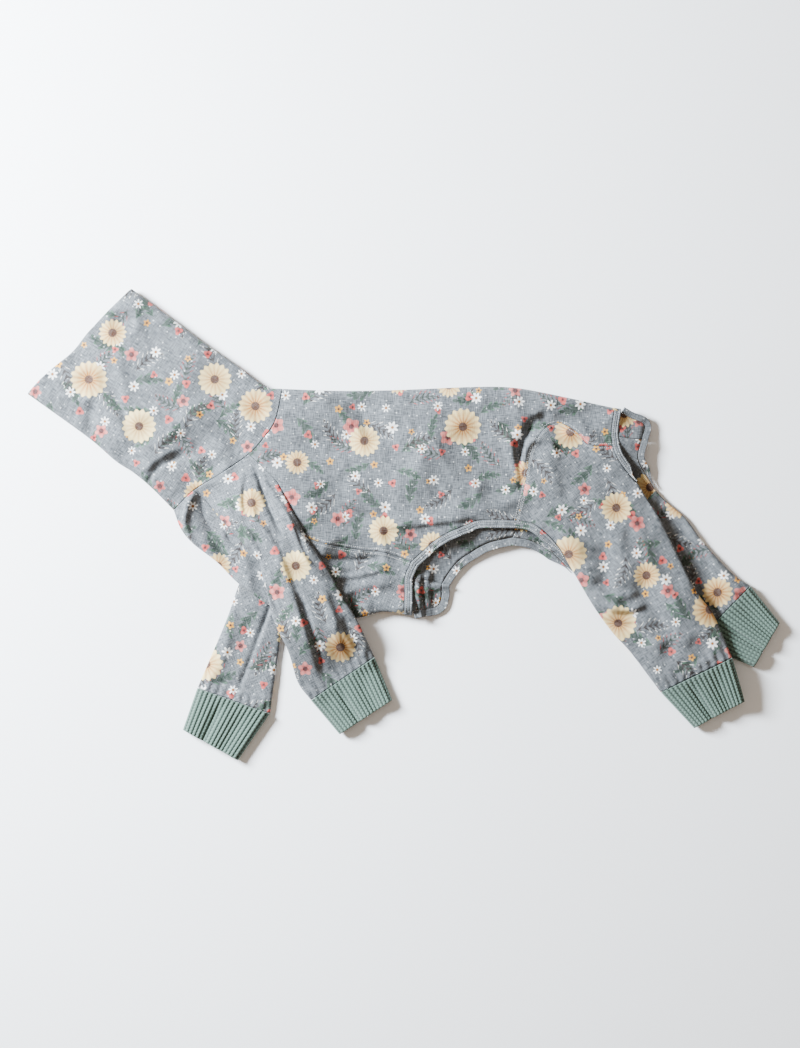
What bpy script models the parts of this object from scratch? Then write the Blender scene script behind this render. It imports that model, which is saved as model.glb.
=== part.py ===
"""A jersey jumpsuit for a slim small dog, lying flat on its right side: snood neck, body with an open
belly and tail, four legs with ribbed cuffs, and sewn bands round the openings. The left side of the
garment is uppermost. Metres, +Z up, head end towards -X, back towards +Y, resting on z = 0."""

import math

import bpy
import numpy as np
from mathutils import Matrix

# Cloth and seams
JERSEY = 0.0012
CUFF_KNIT = 0.0020
BAND_CLOTH = 0.0022
BAND_WIDTH = 0.0085
TAIL_BAND_WIDTH = 0.0070
SEAM_GAP = 0.0005
LAYER_GAP = 0.0006

# How high the empty tubes stand when the garment lies down
LIMB_DEPTH = 0.0070
BODY_DEPTH = 2 * LIMB_DEPTH + JERSEY + LAYER_GAP
STACK_RISE = LIMB_DEPTH + JERSEY + LAYER_GAP
DRAPE_REACH = 0.060
DRAPE_MARGIN = 0.008
RIB_PITCH = 0.0054
RIB_HEIGHT = 0.0007
CUFF_DEPTH = LIMB_DEPTH + CUFF_KNIT - JERSEY + RIB_HEIGHT

# Lengths of the garment, measured between its seams
BACK_LENGTH = 0.381
TAIL_OPENING = 0.043
NECK_BASE = 0.186
NECK_TOP = 0.208
NECK_UNDERSIDE = 0.214
BRISKET_LENGTH = 0.290
RAGLAN_LENGTH = 0.113
SIDE_SEAM = 0.123
BELLY_ARCH = 0.129
SLEEVE_LENGTH = 0.168
THIGH_EDGE = 0.073
LEG_LENGTH = 0.187
FAR_LEG_LENGTH = 0.158
CUFF_TOP = 0.087
FRONT_CUFF_MOUTH = 0.071
FRONT_CUFF_LENGTH = 0.051
HIND_CUFF_TOP = 0.089
HIND_CUFF_MOUTH = 0.064
HIND_CUFF_LENGTH = 0.056
BELLY_SHIFT = 0.043
TAIL_SHIFT = 0.034

# Where the sleeve starts and ends along the neck seam, as shares of it from the back
SLEEVE_ON_NECK = (0.445, 0.835)

# Shares along the back that lie across from the underarm, the flank and the groin
BACK_STOPS = (0.17, 0.41, 0.62)

# Each place is a length away from another one, in a direction in degrees from the head-to-tail axis
PLACES = (
    # place, measured from, length, direction
    ("tail", "nape", BACK_LENGTH, -3.3),
    ("throat", "nape", NECK_BASE, -132.0),
    ("mouth_top", "nape", NECK_TOP, 146.5),
    ("mouth_low", "throat", NECK_UNDERSIDE, 141.5),
    ("brisket", "throat", BRISKET_LENGTH, -24.4),
    ("pit_front", "shoulder_front", RAGLAN_LENGTH, -47.1),
    ("pit_back", "shoulder_back", RAGLAN_LENGTH * 1.03, -55.1),
    ("flank", "pit_back", SIDE_SEAM, -13.0),
    ("groin", "flank", BELLY_ARCH, 21.5),
    ("tail_low", "tail", TAIL_OPENING, -93.1),
    ("thigh_front", "groin", THIGH_EDGE, -38.0),
    ("thigh_back", "tail_low", THIGH_EDGE * 0.70, -57.0),
    ("sleeve_front_end", "pit_front", SLEEVE_LENGTH, -69.9),
    ("sleeve_back_end", "sleeve_front_end", CUFF_TOP, 34.2),
    ("leg_front_end", "thigh_front", LEG_LENGTH, -54.4),
    ("leg_back_end", "leg_front_end", HIND_CUFF_TOP, 26.7),
    ("far_pit_front", "shoulder_front", RAGLAN_LENGTH * 0.92, -50.8),
    ("far_pit_back", "shoulder_back", RAGLAN_LENGTH * 1.04, -65.0),
    ("far_sleeve_front_end", "far_pit_front", SLEEVE_LENGTH * 0.943, -112.7),
    ("far_sleeve_back_end", "far_sleeve_front_end", CUFF_TOP, -19.6),
    ("far_flank", "flank", BELLY_SHIFT, -36.3),
    ("far_groin", "far_flank", BELLY_ARCH * 0.75, 33.3),
    ("far_tail_low", "tail", TAIL_SHIFT * 1.40, -48.9),
    ("far_thigh_front", "far_groin", THIGH_EDGE * 1.15, -30.4),
    ("far_thigh_back", "far_tail_low", THIGH_EDGE * 0.83, -74.6),
    ("far_leg_front_end", "far_thigh_front", FAR_LEG_LENGTH, -29.2),
    ("far_leg_back_end", "far_leg_front_end", HIND_CUFF_TOP, 45.5),
    ("front_mouth_front", "sleeve_front_end", FRONT_CUFF_LENGTH, -50.1),
    ("front_mouth_back", "front_mouth_front", FRONT_CUFF_MOUTH, 33.1),
    ("hind_mouth_front", "leg_front_end", HIND_CUFF_LENGTH, -47.0),
    ("hind_mouth_back", "hind_mouth_front", HIND_CUFF_MOUTH, 28.6),
    ("far_front_mouth_front", "far_sleeve_front_end", FRONT_CUFF_LENGTH, -109.2),
    ("far_front_mouth_back", "far_front_mouth_front", FRONT_CUFF_MOUTH, -29.1),
    ("far_hind_mouth_front", "far_leg_front_end", HIND_CUFF_LENGTH * 1.30, -23.0),
    ("far_hind_mouth_back", "far_hind_mouth_front", HIND_CUFF_MOUTH * 0.90, 59.8),
)

# Each edge runs smoothly between two places, through rows of (along, aside) as shares of its length
EDGES = {
    "back": ("nape", "tail", ((0.17, 0.004), (0.35, 0.017), (0.56, 0.038), (0.68, 0.044), (0.79, 0.033))),
    "neck_base": ("nape", "throat", ((0.17, 0.096), (0.30, 0.116), (0.44, 0.113), (0.67, 0.057),
                                     (0.83, 0.009))),
    "neck_back": ("nape", "mouth_top", ((0.09, 0.041), (0.29, 0.033), (0.51, 0.028), (0.70, 0.016))),
    "neck_under": ("throat", "mouth_low", ((0.17, -0.02), (0.30, -0.023), (0.41, -0.012), (0.60, -0.019))),
    "mouth": ("mouth_top", "mouth_low", ((0.37, 0.003), (0.59, 0.021), (0.80, 0.001))),
    "chest_fold": ("throat", "brisket", ((0.055, -0.054), (0.123, -0.088), (0.244, -0.116), (0.355, -0.157),
                                         (0.506, -0.185), (0.663, -0.166), (0.83, -0.09), (0.917, -0.024))),
    "raglan_front": ("shoulder_front", "pit_front", ((0.17, 0.013), (0.39, 0.0), (0.66, 0.002))),
    "raglan_back": ("shoulder_back", "pit_back", ((0.16, 0.035), (0.36, 0.071), (0.52, 0.057))),
    "pit": ("pit_front", "pit_back", ()),
    "side_seam": ("pit_back", "flank", ((0.22, -0.018), (0.56, 0.004), (0.74, 0.027))),
    "chest_end": ("brisket", "flank", ((0.42, 0.050), (0.70, 0.082))),
    "arch": ("flank", "groin", ((0.10, 0.037), (0.21, 0.082), (0.36, 0.116), (0.57, 0.122), (0.70, 0.118))),
    "hip": ("groin", "tail_low", ((0.21, 0.167), (0.42, 0.356), (0.61, 0.449), (0.76, 0.425), (0.83, 0.289),
                                  (0.85, 0.131))),
    "thigh_front": ("groin", "thigh_front", ((0.23, 0.118), (0.52, 0.133), (0.80, 0.081))),
    "thigh_back": ("tail_low", "thigh_back", ((0.31, -0.065), (0.78, -0.047))),
    "tail_end": ("tail", "tail_low", ((0.60, -0.049),)),
    "crotch": ("thigh_front", "thigh_back", ()),
    "sleeve_front": ("pit_front", "sleeve_front_end", ((0.13, -0.019), (0.27, -0.031), (0.40, -0.044),
                                                       (0.63, -0.027), (0.85, -0.041))),
    "sleeve_back": ("pit_back", "sleeve_back_end", ((0.30, 0.019), (0.50, 0.016), (0.70, 0.023))),
    "sleeve_end": ("sleeve_front_end", "sleeve_back_end", ()),
    "leg_front": ("thigh_front", "leg_front_end", ((0.33, -0.030), (0.53, -0.028), (0.70, -0.008))),
    "leg_back": ("thigh_back", "leg_back_end", ((0.09, 0.004), (0.23, 0.013), (0.60, -0.001), (0.76, 0.021))),
    "leg_end": ("leg_front_end", "leg_back_end", ()),
    "far_raglan_front": ("shoulder_front", "far_pit_front", ()),
    "far_raglan_back": ("shoulder_back", "far_pit_back", ((0.36, 0.050), (0.52, 0.045))),
    "far_pit": ("far_pit_front", "far_pit_back", ()),
    "far_side_seam": ("far_pit_back", "far_flank", ()),
    "far_chest_end": ("brisket", "far_flank", ((0.28, -0.11), (0.62, -0.30), (0.83, -0.20))),
    "far_arch": ("far_flank", "far_groin", ((0.27, 0.108), (0.54, 0.119), (0.75, 0.094))),
    "far_hip": ("far_groin", "far_tail_low", ((0.25, 0.12), (0.50, 0.22), (0.75, 0.22))),
    "far_thigh_front": ("far_groin", "far_thigh_front", ((0.23, 0.089), (0.49, 0.113), (0.72, 0.073))),
    "far_thigh_back": ("far_tail_low", "far_thigh_back", ((0.31, -0.163), (0.66, -0.102))),
    "far_tail_end": ("tail", "far_tail_low", ((0.33, 0.06), (0.67, 0.18))),
    "far_crotch": ("far_thigh_front", "far_thigh_back", ()),
    "far_sleeve_front": ("far_pit_front", "far_sleeve_front_end", ((0.20, -0.013), (0.48, 0.003))),
    "far_sleeve_back": ("far_pit_back", "far_sleeve_back_end", ()),
    "far_sleeve_end": ("far_sleeve_front_end", "far_sleeve_back_end", ()),
    "far_leg_front": ("far_thigh_front", "far_leg_front_end", ((0.3, -0.04), (0.7, -0.02))),
    "far_leg_back": ("far_thigh_back", "far_leg_back_end", ((0.11, -0.003), (0.30, 0.012), (0.53, -0.02),
                                                            (0.84, -0.03))),
    "far_leg_end": ("far_leg_front_end", "far_leg_back_end", ()),
}
# A cuff's two sides and its mouth are straight
for mark, limb, cuff in (("", "sleeve", "front"), ("", "leg", "hind"), ("far_", "sleeve", "front"),
                         ("far_", "leg", "hind")):
    for side in ("front", "back"):
        EDGES[f"{mark}{cuff}_mouth_{side}"] = (f"{mark}{limb}_{side}_end", f"{mark}{cuff}_mouth_{side}", ())
    EDGES[f"{mark}{cuff}_mouth"] = (f"{mark}{cuff}_mouth_front", f"{mark}{cuff}_mouth_back", ())

# Rows across the cloth from a fold: share of the width, and how fully the layers part there
FOLD_ROWS = ((0.0, 0.0), (0.03, 0.50), (0.09, 0.86), (0.19, 1.0), (0.36, 1.0), (0.57, 1.0), (0.78, 1.0),
             (1.0, 1.0))
TUBE_ROWS = ((0.0, 0.0), (0.05, 0.66), (0.15, 1.0), (0.32, 1.0), (0.5, 1.0), (0.68, 1.0), (0.85, 1.0),
             (0.95, 0.66), (1.0, 0.0))

# Folds of the upper layer: place across and along, half-widths that way, and height as a share of LIMB_DEPTH
FOLDS = {
    "neck_tube": (
        # across, along, width across, width along, height
        (0.56, 0.20, 0.10, 0.16, -0.50),
        (0.75, 0.18, 0.12, 0.12, 0.30),
        (0.60, 0.78, 0.18, 0.10, -0.30),
        (0.30, 0.50, 0.20, 0.30, 0.25),
    ),
    "back_panel": (
        (0.70, 0.30, 0.20, 0.05, -0.30),
        (0.62, 0.62, 0.16, 0.03, 0.22),
        (0.80, 0.72, 0.14, 0.03, 0.25),
        (0.92, 0.80, 0.10, 0.03, -0.30),
    ),
    "chest_panel": (
        (0.50, 0.20, 0.30, 0.05, 0.25),
        (0.45, 0.85, 0.25, 0.05, -0.25),
    ),
    "front_sleeve_left": (
        (0.40, 0.30, 0.08, 0.22, 0.40),
        (0.58, 0.62, 0.08, 0.28, 0.45),
        (0.72, 0.66, 0.06, 0.22, -0.50),
        (0.30, 0.85, 0.10, 0.08, 0.20),
    ),
    "hind_leg_left": (
        (0.16, 0.18, 0.08, 0.14, 0.25),
        (0.55, 0.55, 0.14, 0.10, 0.30),
        (0.30, 0.62, 0.12, 0.05, -0.35),
        (0.70, 0.80, 0.10, 0.12, -0.25),
    ),
}

RAGLAN_CELLS = 5
PIT_CELLS = 3
SEAM_CELLS = 5
ARCH_CELLS = 6
THIGH_CELLS = 4
TUBE_CELLS = 8
NECK_CELLS = 9
CUFF_CELLS = 2
BAND_END = 0.10
LEAN = 1.0


def clear_scene():
    for old in list(bpy.data.objects):
        bpy.data.objects.remove(old)


def step_from(start, length, direction):
    """The plan point a length away from a start, in a direction in degrees."""
    turn = math.radians(direction)
    return start + length * np.array((math.cos(turn), math.sin(turn)))


def smooth(share):
    """An even ease from 0 to 1."""
    share = np.clip(share, 0.0, 1.0)
    return share * share * (3 - 2 * share)


def curve(start, end, rows):
    """A smooth plan curve from start to end through rows of shares, as closely spaced points."""
    chord = end - start
    aside = np.array((-chord[1], chord[0]))
    knots = [start] + [start + along * chord + side * aside for along, side in rows] + [end]
    knots = np.array([2 * knots[0] - knots[1]] + knots + [2 * knots[-1] - knots[-2]])
    points = []
    for before, first, second, after in zip(knots, knots[1:], knots[2:], knots[3:]):
        for share in np.linspace(0, 1, 13)[:-1]:
            bend = (2 * before - 5 * first + 4 * second - after) * share ** 2
            twist = (3 * first - before - 3 * second + after) * share ** 3
            points.append(first + 0.5 * ((second - before) * share + bend + twist))
    return np.array(points + [end])


def along(points, shares):
    """Points of a curve at shares of its length."""
    steps = np.linalg.norm(np.diff(points, axis=0), axis=1)
    travelled = np.concatenate(([0.0], np.cumsum(steps)))
    wanted = np.asarray(shares) * travelled[-1]
    return np.stack([np.interp(wanted, travelled, points[:, axis]) for axis in (0, 1)], axis=1)


def even(cells):
    return np.linspace(0, 1, cells + 1)


def chain(*stretches):
    """Points along several edges in turn, each given as (points, shares)."""
    pieces = [along(points, shares) for points, shares in stretches]
    return np.concatenate([piece[:-1] for piece in pieces[:-1]] + [pieces[-1]])


def coons(near, far, start, end):
    """Fills four edges of sampled plan points: near and far run along, start and end across."""
    v = np.linspace(0, 1, len(near))[:, None, None]
    # The shares across follow the spacing on the start edge
    steps = np.concatenate(([0.0], np.cumsum(np.linalg.norm(np.diff(start, axis=0), axis=1))))
    u = (steps / steps[-1])[None, :, None]
    lengthwise = (1 - u) * near[:, None] + u * far[:, None]
    crosswise = (1 - v) * start[None] + v * end[None]
    corners = ((1 - u) * (1 - v) * near[0] + u * (1 - v) * far[0]
               + (1 - u) * v * near[-1] + u * v * far[-1])
    return lengthwise + crosswise - corners


def set_out_places():
    """Plan points of all named places, and the curves between them."""
    places = {"nape": np.zeros(2)}
    for name, start, length, direction in PLACES[:2]:
        places[name] = step_from(places[start], length, direction)
    neck_base = curve(places["nape"], places["throat"], EDGES["neck_base"][2])
    places["shoulder_back"], places["shoulder_front"] = along(neck_base, SLEEVE_ON_NECK)
    for name, start, length, direction in PLACES[2:]:
        places[name] = step_from(places[start], length, direction)
    curves = {name: curve(places[start], places[end], rows) for name, (start, end, rows) in EDGES.items()}
    back, front = SLEEVE_ON_NECK
    curves["neck_on_back"] = along(neck_base, np.linspace(0, back, 40))
    curves["neck_on_sleeve"] = along(neck_base, np.linspace(front, back, 40))
    curves["neck_on_chest"] = along(neck_base, np.linspace(1, front, 40))
    return places, curves


def off_line(plan, stops):
    """Distance of plan points from a line through a few stops."""
    best = np.full(plan.shape[:-1], np.inf)
    for start, end in zip(stops, stops[1:]):
        run = end - start
        share = np.clip(((plan - start) @ run) / (run @ run), 0, 1)
        best = np.minimum(best, np.linalg.norm(plan - start - share[..., None] * run, axis=-1))
    return best


def draped(plan, stops, width):
    """1 over a limb of this width along its middle line, easing to 0 within the drape's reach of it."""
    return smooth(1 + (0.5 * width + DRAPE_MARGIN - off_line(plan, stops)) / DRAPE_REACH)


class Lie:
    """How high each layer lies: the far sleeve and far leg lift what is over them."""

    def __init__(self, places, curves):
        middle = {name: (places[name + "front" + end] + places[name + "back" + end]) / 2
                  for name, end in (("far_pit_", ""), ("far_sleeve_", "_end"), ("far_leg_", "_end"),
                                    ("far_hind_mouth_", ""))}
        shoulder = (places["shoulder_back"] + places["shoulder_front"]) / 2
        self.sleeve = (shoulder, middle["far_pit_"], middle["far_sleeve_"])
        self.lifted = min(self.down_sleeve(places["far_pit_" + side]) for side in ("front", "back"))
        self.cuff = (middle["far_leg_"], middle["far_hind_mouth_"])
        self.chest = along(curves["chest_fold"], even(24))
        self.leg = np.concatenate((curves["far_thigh_front"], curves["far_leg_front"][1:],
                                   curves["far_hind_mouth_front"][1:]))

    def down_sleeve(self, plan):
        """Share of the way from the neck seam to the middle of the far underarm."""
        down = self.sleeve[1] - self.sleeve[0]
        return ((plan - self.sleeve[0]) @ down) / (down @ down)

    def rise(self, plan):
        """Lift of the body over the far sleeve, from nothing at the neck seam to full at the underarm."""
        return STACK_RISE * smooth(self.down_sleeve(plan) / self.lifted) * draped(plan, self.sleeve, CUFF_TOP)

    def inside(self, plan, line, side):
        """1 on one side of an edge, easing to 0 within the drape's reach on the other side."""
        start, end = line[:-1], line[1:]
        run = end - start
        away = plan[..., None, :] - start
        share = np.clip((away * run).sum(-1) / (run * run).sum(-1), 0, 1)
        offset = away - share[..., None] * run
        gaps = np.linalg.norm(offset, axis=-1)
        nearest = np.argmin(gaps, axis=-1)[..., None]
        cross = np.take_along_axis(run[:, 0] * away[..., 1] - run[:, 1] * away[..., 0], nearest, -1)[..., 0]
        gap = np.take_along_axis(gaps, nearest, -1)[..., 0]
        distance = np.where(side * cross > 0, gap, -gap)
        return smooth(1 + (distance + DRAPE_MARGIN) / DRAPE_REACH)

    def far_level(self, plan):
        return JERSEY / 2 + self.rise(plan)

    def near_level(self, plan):
        return self.far_level(plan) + BODY_DEPTH

    def under_sleeve(self, plan):
        """Height that the near sleeve's lower layer rests at."""
        over = (BODY_DEPTH + JERSEY + LAYER_GAP) * self.inside(plan, self.chest, 1)
        return self.rise(plan) + over

    def under_leg(self, plan):
        """Height that the near leg's lower layer rests at, over the far leg and its thicker cuff."""
        thicker = CUFF_DEPTH + CUFF_KNIT + RIB_HEIGHT + LAYER_GAP - STACK_RISE
        return STACK_RISE * self.inside(plan, self.leg, 1) + thicker * draped(plan, self.cuff, HIND_CUFF_TOP)


def with_height(plan, height):
    return np.concatenate((plan, np.broadcast_to(height, plan.shape[:-1])[..., None]), axis=-1)


def folded(grid, name):
    """Adds the named folds to a layer of points, fading out at its edges."""
    v, u = np.meshgrid(even(grid.shape[0] - 1), even(grid.shape[1] - 1), indexing="ij")
    fade = smooth(6 * u) * smooth(6 * (1 - u)) * smooth(6 * v) * smooth(6 * (1 - v))
    for across, along_it, wide, long, height in FOLDS.get(name, ()):
        bump = np.exp(-((u - across) / wide) ** 2 - ((v - along_it) / long) ** 2)
        grid[..., 2] += LIMB_DEPTH * height * bump * fade
    return grid


def eased(line, inner, gap=SEAM_GAP):
    """A seam's line of points drawn back square to the seam, so that the sewn pieces keep a small gap."""
    seam = np.gradient(line, axis=0)
    seam /= np.linalg.norm(seam, axis=-1, keepdims=True)
    run = inner - line
    run -= (run * seam).sum(-1, keepdims=True) * seam
    return line + run * (0.5 * gap / np.linalg.norm(run, axis=-1, keepdims=True))


class Cloth:
    """A sheet of cloth made of grids of points, with shared points joined, then given its thickness."""

    def __init__(self, name, thickness, material):
        self.name = name
        self.thickness = thickness
        self.material = material
        self.points = []
        self.faces = []
        self.index = {}

    def vertex(self, point):
        key = tuple(np.round(point, 7))
        if key not in self.index:
            self.index[key] = len(self.points)
            self.points.append(point)
        return self.index[key]

    def layer(self, grid, facing_up=True):
        """Adds a grid of quads, facing up or down."""
        across, down = grid[0, -1] - grid[0, 0], grid[-1, 0] - grid[0, 0]
        forward = (across[0] * down[1] - across[1] * down[0] > 0) == facing_up
        ids = [[self.vertex(point) for point in row] for row in grid]
        for one, two in zip(ids, ids[1:]):
            for a, b, c, d in zip(one, one[1:], two[1:], two):
                self.faces.append((a, b, c, d) if forward else (d, c, b, a))

    def build(self):
        mesh = bpy.data.meshes.new(self.name)
        mesh.from_pydata([tuple(point) for point in self.points], [], self.faces)
        mesh.update()
        made = bpy.data.objects.new(self.name, mesh)
        bpy.context.collection.objects.link(made)
        mesh.materials.append(self.material)
        mesh.shade_smooth()
        mesh.set_sharp_from_angle(angle=math.radians(50))
        thick = made.modifiers.new("cloth thickness", "SOLIDIFY")
        thick.thickness = self.thickness
        thick.offset = 0
        thick.use_even_offset = True
        thick.use_rim = True
        return made


def cloth_material(name, colour, roughness):
    made = bpy.data.materials.new(name)
    made.use_nodes = True
    shader = made.node_tree.nodes["Principled BSDF"]
    shader.inputs["Base Color"].default_value = (*colour, 1.0)
    shader.inputs["Roughness"].default_value = roughness
    shader.inputs["Metallic"].default_value = 0.0
    return made


def shares_of(rows):
    return np.array([row[0] for row in rows])


def fullness_of(rows):
    return np.array([row[1] for row in rows])


def back_stations():
    """Shares along the back across from each cell of the raglan, side seam, arch and hip."""
    stops = (0.0, *BACK_STOPS, 1.0)
    counts = (RAGLAN_CELLS, SEAM_CELLS, ARCH_CELLS, TUBE_CELLS)
    parts = [start + (end - start) * even(cells)[:-1] for start, end, cells in zip(stops, stops[1:], counts)]
    return np.append(np.concatenate(parts), 1.0)


def flank_line(curves, far):
    """The lower edge of the back panel on one side: raglan, side seam, belly arch and hip seam."""
    mark = "far_" if far else ""
    return chain((curves[mark + "raglan_back"], even(RAGLAN_CELLS)),
                 (curves[mark + "side_seam"], even(SEAM_CELLS)),
                 (curves[mark + "arch"], even(ARCH_CELLS)),
                 (curves[mark + "hip"], shares_of(TUBE_ROWS)))


def chest_line(curves, far):
    """The upper edge of the chest panel on one side: raglan, underarm and side seam."""
    mark = "far_" if far else ""
    return chain((curves[mark + "raglan_front"], even(RAGLAN_CELLS)), (curves[mark + "pit"], even(PIT_CELLS)),
                 (curves[mark + "side_seam"], even(SEAM_CELLS)))


def body_layer(lie, plan, far):
    """Heights of one side of the body, closing on the fold at the first column."""
    middle = lie.far_level(plan) + BODY_DEPTH / 2
    side = -1 if far else 1
    return with_height(plan, middle + side * BODY_DEPTH / 2 * fullness_of(FOLD_ROWS)[None, :])


def make_back_panel(lie, curves, material):
    cloth = Cloth("back_panel", JERSEY, material)
    fold = along(curves["back"], back_stations())
    neck = along(curves["neck_on_back"], shares_of(FOLD_ROWS))
    for far in (False, True):
        end = along(curves["far_tail_end" if far else "tail_end"], shares_of(FOLD_ROWS))
        grid = body_layer(lie, coons(fold, flank_line(curves, far), neck, end), far)
        if not far:
            grid = folded(grid, "back_panel")
        grid[0] = eased(grid[0], grid[1])
        grid[-1] = eased(grid[-1], grid[-2])
        grid[:, -1] = eased(grid[:, -1], grid[:, -2])
        cloth.layer(grid, facing_up=not far)
    return cloth.build()


def make_chest_panel(lie, curves, material):
    cloth = Cloth("chest_panel", JERSEY, material)
    upper = {far: chest_line(curves, far) for far in (False, True)}
    fold = along(curves["chest_fold"], even(RAGLAN_CELLS + PIT_CELLS + SEAM_CELLS))
    neck = along(curves["neck_on_chest"], shares_of(FOLD_ROWS))
    for far in (False, True):
        end = along(curves["far_chest_end" if far else "chest_end"], shares_of(FOLD_ROWS))
        grid = body_layer(lie, coons(fold, upper[far], neck, end), far)
        if not far:
            grid = folded(grid, "chest_panel")
        grid[0] = eased(grid[0], grid[1])
        grid[-1] = eased(grid[-1], grid[-2])
        grid[:, -1] = eased(grid[:, -1], grid[:, -2])
        cloth.layer(grid, facing_up=not far)
    return cloth.build()


def make_neck_tube(lie, curves, material):
    cloth = Cloth("neck_tube", JERSEY, material)
    fold_rows, tube_rows = shares_of(FOLD_ROWS), shares_of(TUBE_ROWS)
    base = chain((curves["neck_on_back"], fold_rows), (curves["neck_on_sleeve"][::-1], 1 - tube_rows[::-1]),
                 (curves["neck_on_chest"][::-1], 1 - fold_rows[::-1]))
    steps = np.concatenate(([0.0], np.cumsum(np.linalg.norm(np.diff(base, axis=0), axis=1))))
    mouth = along(curves["mouth"], steps / steps[-1])
    plan = coons(along(curves["neck_back"], even(NECK_CELLS)), along(curves["neck_under"], even(NECK_CELLS)),
                 base, mouth)
    full = np.ones(plan.shape[1])
    full[:len(FOLD_ROWS)] = fullness_of(FOLD_ROWS)
    full[-len(FOLD_ROWS):] = fullness_of(FOLD_ROWS)[::-1]
    middle = lie.far_level(plan) + BODY_DEPTH / 2
    for side in (1, -1):
        grid = with_height(plan, middle + side * BODY_DEPTH / 2 * full)
        if side > 0:
            grid = folded(grid, "neck_tube")
        grid[0] = eased(grid[0], grid[1])
        cloth.layer(grid, facing_up=side > 0)
    return cloth.build()


def limb_edge(curves, attached, free, cells):
    """A side edge of a limb: a stretch sewn or bound, then a free fold."""
    return chain((curves[attached], even(cells)), (curves[free], even(TUBE_CELLS)))


def limb_plan(curves, limb, far):
    """Plan points of a limb's outer layer, from its seam, and its inner one, from the underarm or crotch."""
    mark = "far_" if far else ""
    rows = shares_of(TUBE_ROWS)
    if limb == "sleeve":
        names, cells, opening = ("raglan_front", "raglan_back"), RAGLAN_CELLS, "pit"
        head = curves["neck_on_sleeve"]
    else:
        names, cells, opening = ("thigh_front", "thigh_back"), THIGH_CELLS, "crotch"
        head = curves[mark + "hip"]
    front = limb_edge(curves, mark + names[0], mark + limb + "_front", cells)
    back = limb_edge(curves, mark + names[1], mark + limb + "_back", cells)
    end = along(curves[mark + limb + "_end"], rows)
    outer = coons(front, back, along(head, rows), end)
    inner = coons(front[cells:], back[cells:], along(curves[mark + opening], rows), end)
    return outer, inner, cells


def parting(limb, cells, count):
    """How far each layer of a limb stands from its inner side, as shares of LIMB_DEPTH, by station."""
    full = fullness_of(TUBE_ROWS)[None, :]
    station = np.arange(count)[:, None]
    if limb == "sleeve":
        free = smooth((station - cells) / 2)
        return full * (1 - free) + free * (1 + full) / 2, (free * (1 - full) / 2)[cells:]
    closing = smooth(station / cells)
    return 1 - closing * (1 - full) / 2, ((1 - full) / 2 * (station >= cells))[cells:]


def sewn_heights(lie, limb, plan, share, cells, far):
    """Heights of the stretch of a limb that is sewn to the body, level with the body at its seams."""
    side = -1 if far else 1
    level = lie.far_level(plan) if far else lie.near_level(plan)
    if limb == "leg":
        return level - side * LIMB_DEPTH * (1 - share)
    attached = smooth(np.arange(len(plan))[:, None] / cells)
    return level + side * attached * (JERSEY + LAYER_GAP + LIMB_DEPTH * share)


def make_limb(name, limb, lie, curves, far, material):
    cloth = Cloth(name, JERSEY, material)
    outer, inner, cells = limb_plan(curves, limb, far)
    outer_share, inner_share = parting(limb, cells, len(outer))
    if far:
        outer_z, inner_z = [JERSEY / 2 + LIMB_DEPTH * (1 - share) for share in (outer_share, inner_share)]
    else:
        rest = lie.under_sleeve if limb == "sleeve" else lie.under_leg
        outer_z = JERSEY / 2 + rest(outer) + LIMB_DEPTH * outer_share
        inner_z = JERSEY / 2 + rest(inner) + LIMB_DEPTH * inner_share
    sewn = sewn_heights(lie, limb, outer[:cells + 1], outer_share[:cells + 1], cells, far)
    outer_z[:cells + 1] = np.maximum(sewn, JERSEY / 2)
    top, under = with_height(outer, outer_z), with_height(inner, inner_z)
    top = folded(top, name)
    top[-1] = eased(top[-1], top[-2])
    under[-1] = eased(under[-1], under[-2])
    top[0] = eased(top[0], top[1])
    # The outer layer's sewn sides keep their gap, and both layers share the folds below
    for column, inward in ((0, 1), (-1, -2)):
        top[:cells, column] = eased(top[:cells, column], top[:cells, inward])
        under[:, column] = top[cells:, column]
    cloth.layer(top, facing_up=not far)
    cloth.layer(under, facing_up=far)
    return cloth.build()


def round_edge(share, reach=0.12):
    """How fully the two layers of a tube part at a share of its width, round at both folds."""
    inward = np.clip(np.minimum(share, 1 - share) / reach, 0, 1)
    return np.sqrt(np.clip(1 - (1 - inward) ** 2, 0, 1))


def make_cuff(name, lie, curves, limb, far, material):
    """A ribbed knit cuff: a flattened tube from the limb's end to its mouth."""
    cloth = Cloth(name, CUFF_KNIT, material)
    mark = "far_" if far else ""
    mouth_name = mark + ("front" if limb == "sleeve" else "hind") + "_mouth"
    seam = curves[mark + limb + "_end"]
    width = np.linalg.norm(seam[-1] - seam[0])
    ribs = round(width / RIB_PITCH)
    shares = even(2 * ribs)
    front = along(curves[mouth_name + "_front"], even(CUFF_CELLS))
    back = along(curves[mouth_name + "_back"], even(CUFF_CELLS))
    plan = coons(front, back, along(seam, shares), along(curves[mouth_name], shares))
    full = round_edge(shares)[None, :]
    rib = RIB_HEIGHT / 2 * np.where(np.arange(2 * ribs + 1) % 2, 1, -1) * full
    if far:
        bed = np.zeros(plan.shape[:-1])
    else:
        bed = lie.under_sleeve(plan) if limb == "sleeve" else lie.under_leg(plan)
    middle = bed + CUFF_KNIT / 2 + RIB_HEIGHT / 2 + CUFF_DEPTH / 2
    for side in (1, -1):
        grid = with_height(plan, middle + side * CUFF_DEPTH / 2 * full + side * rib)
        grid[0] = eased(grid[0], grid[1])
        cloth.layer(grid, facing_up=side > 0)
    return cloth.build()


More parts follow.
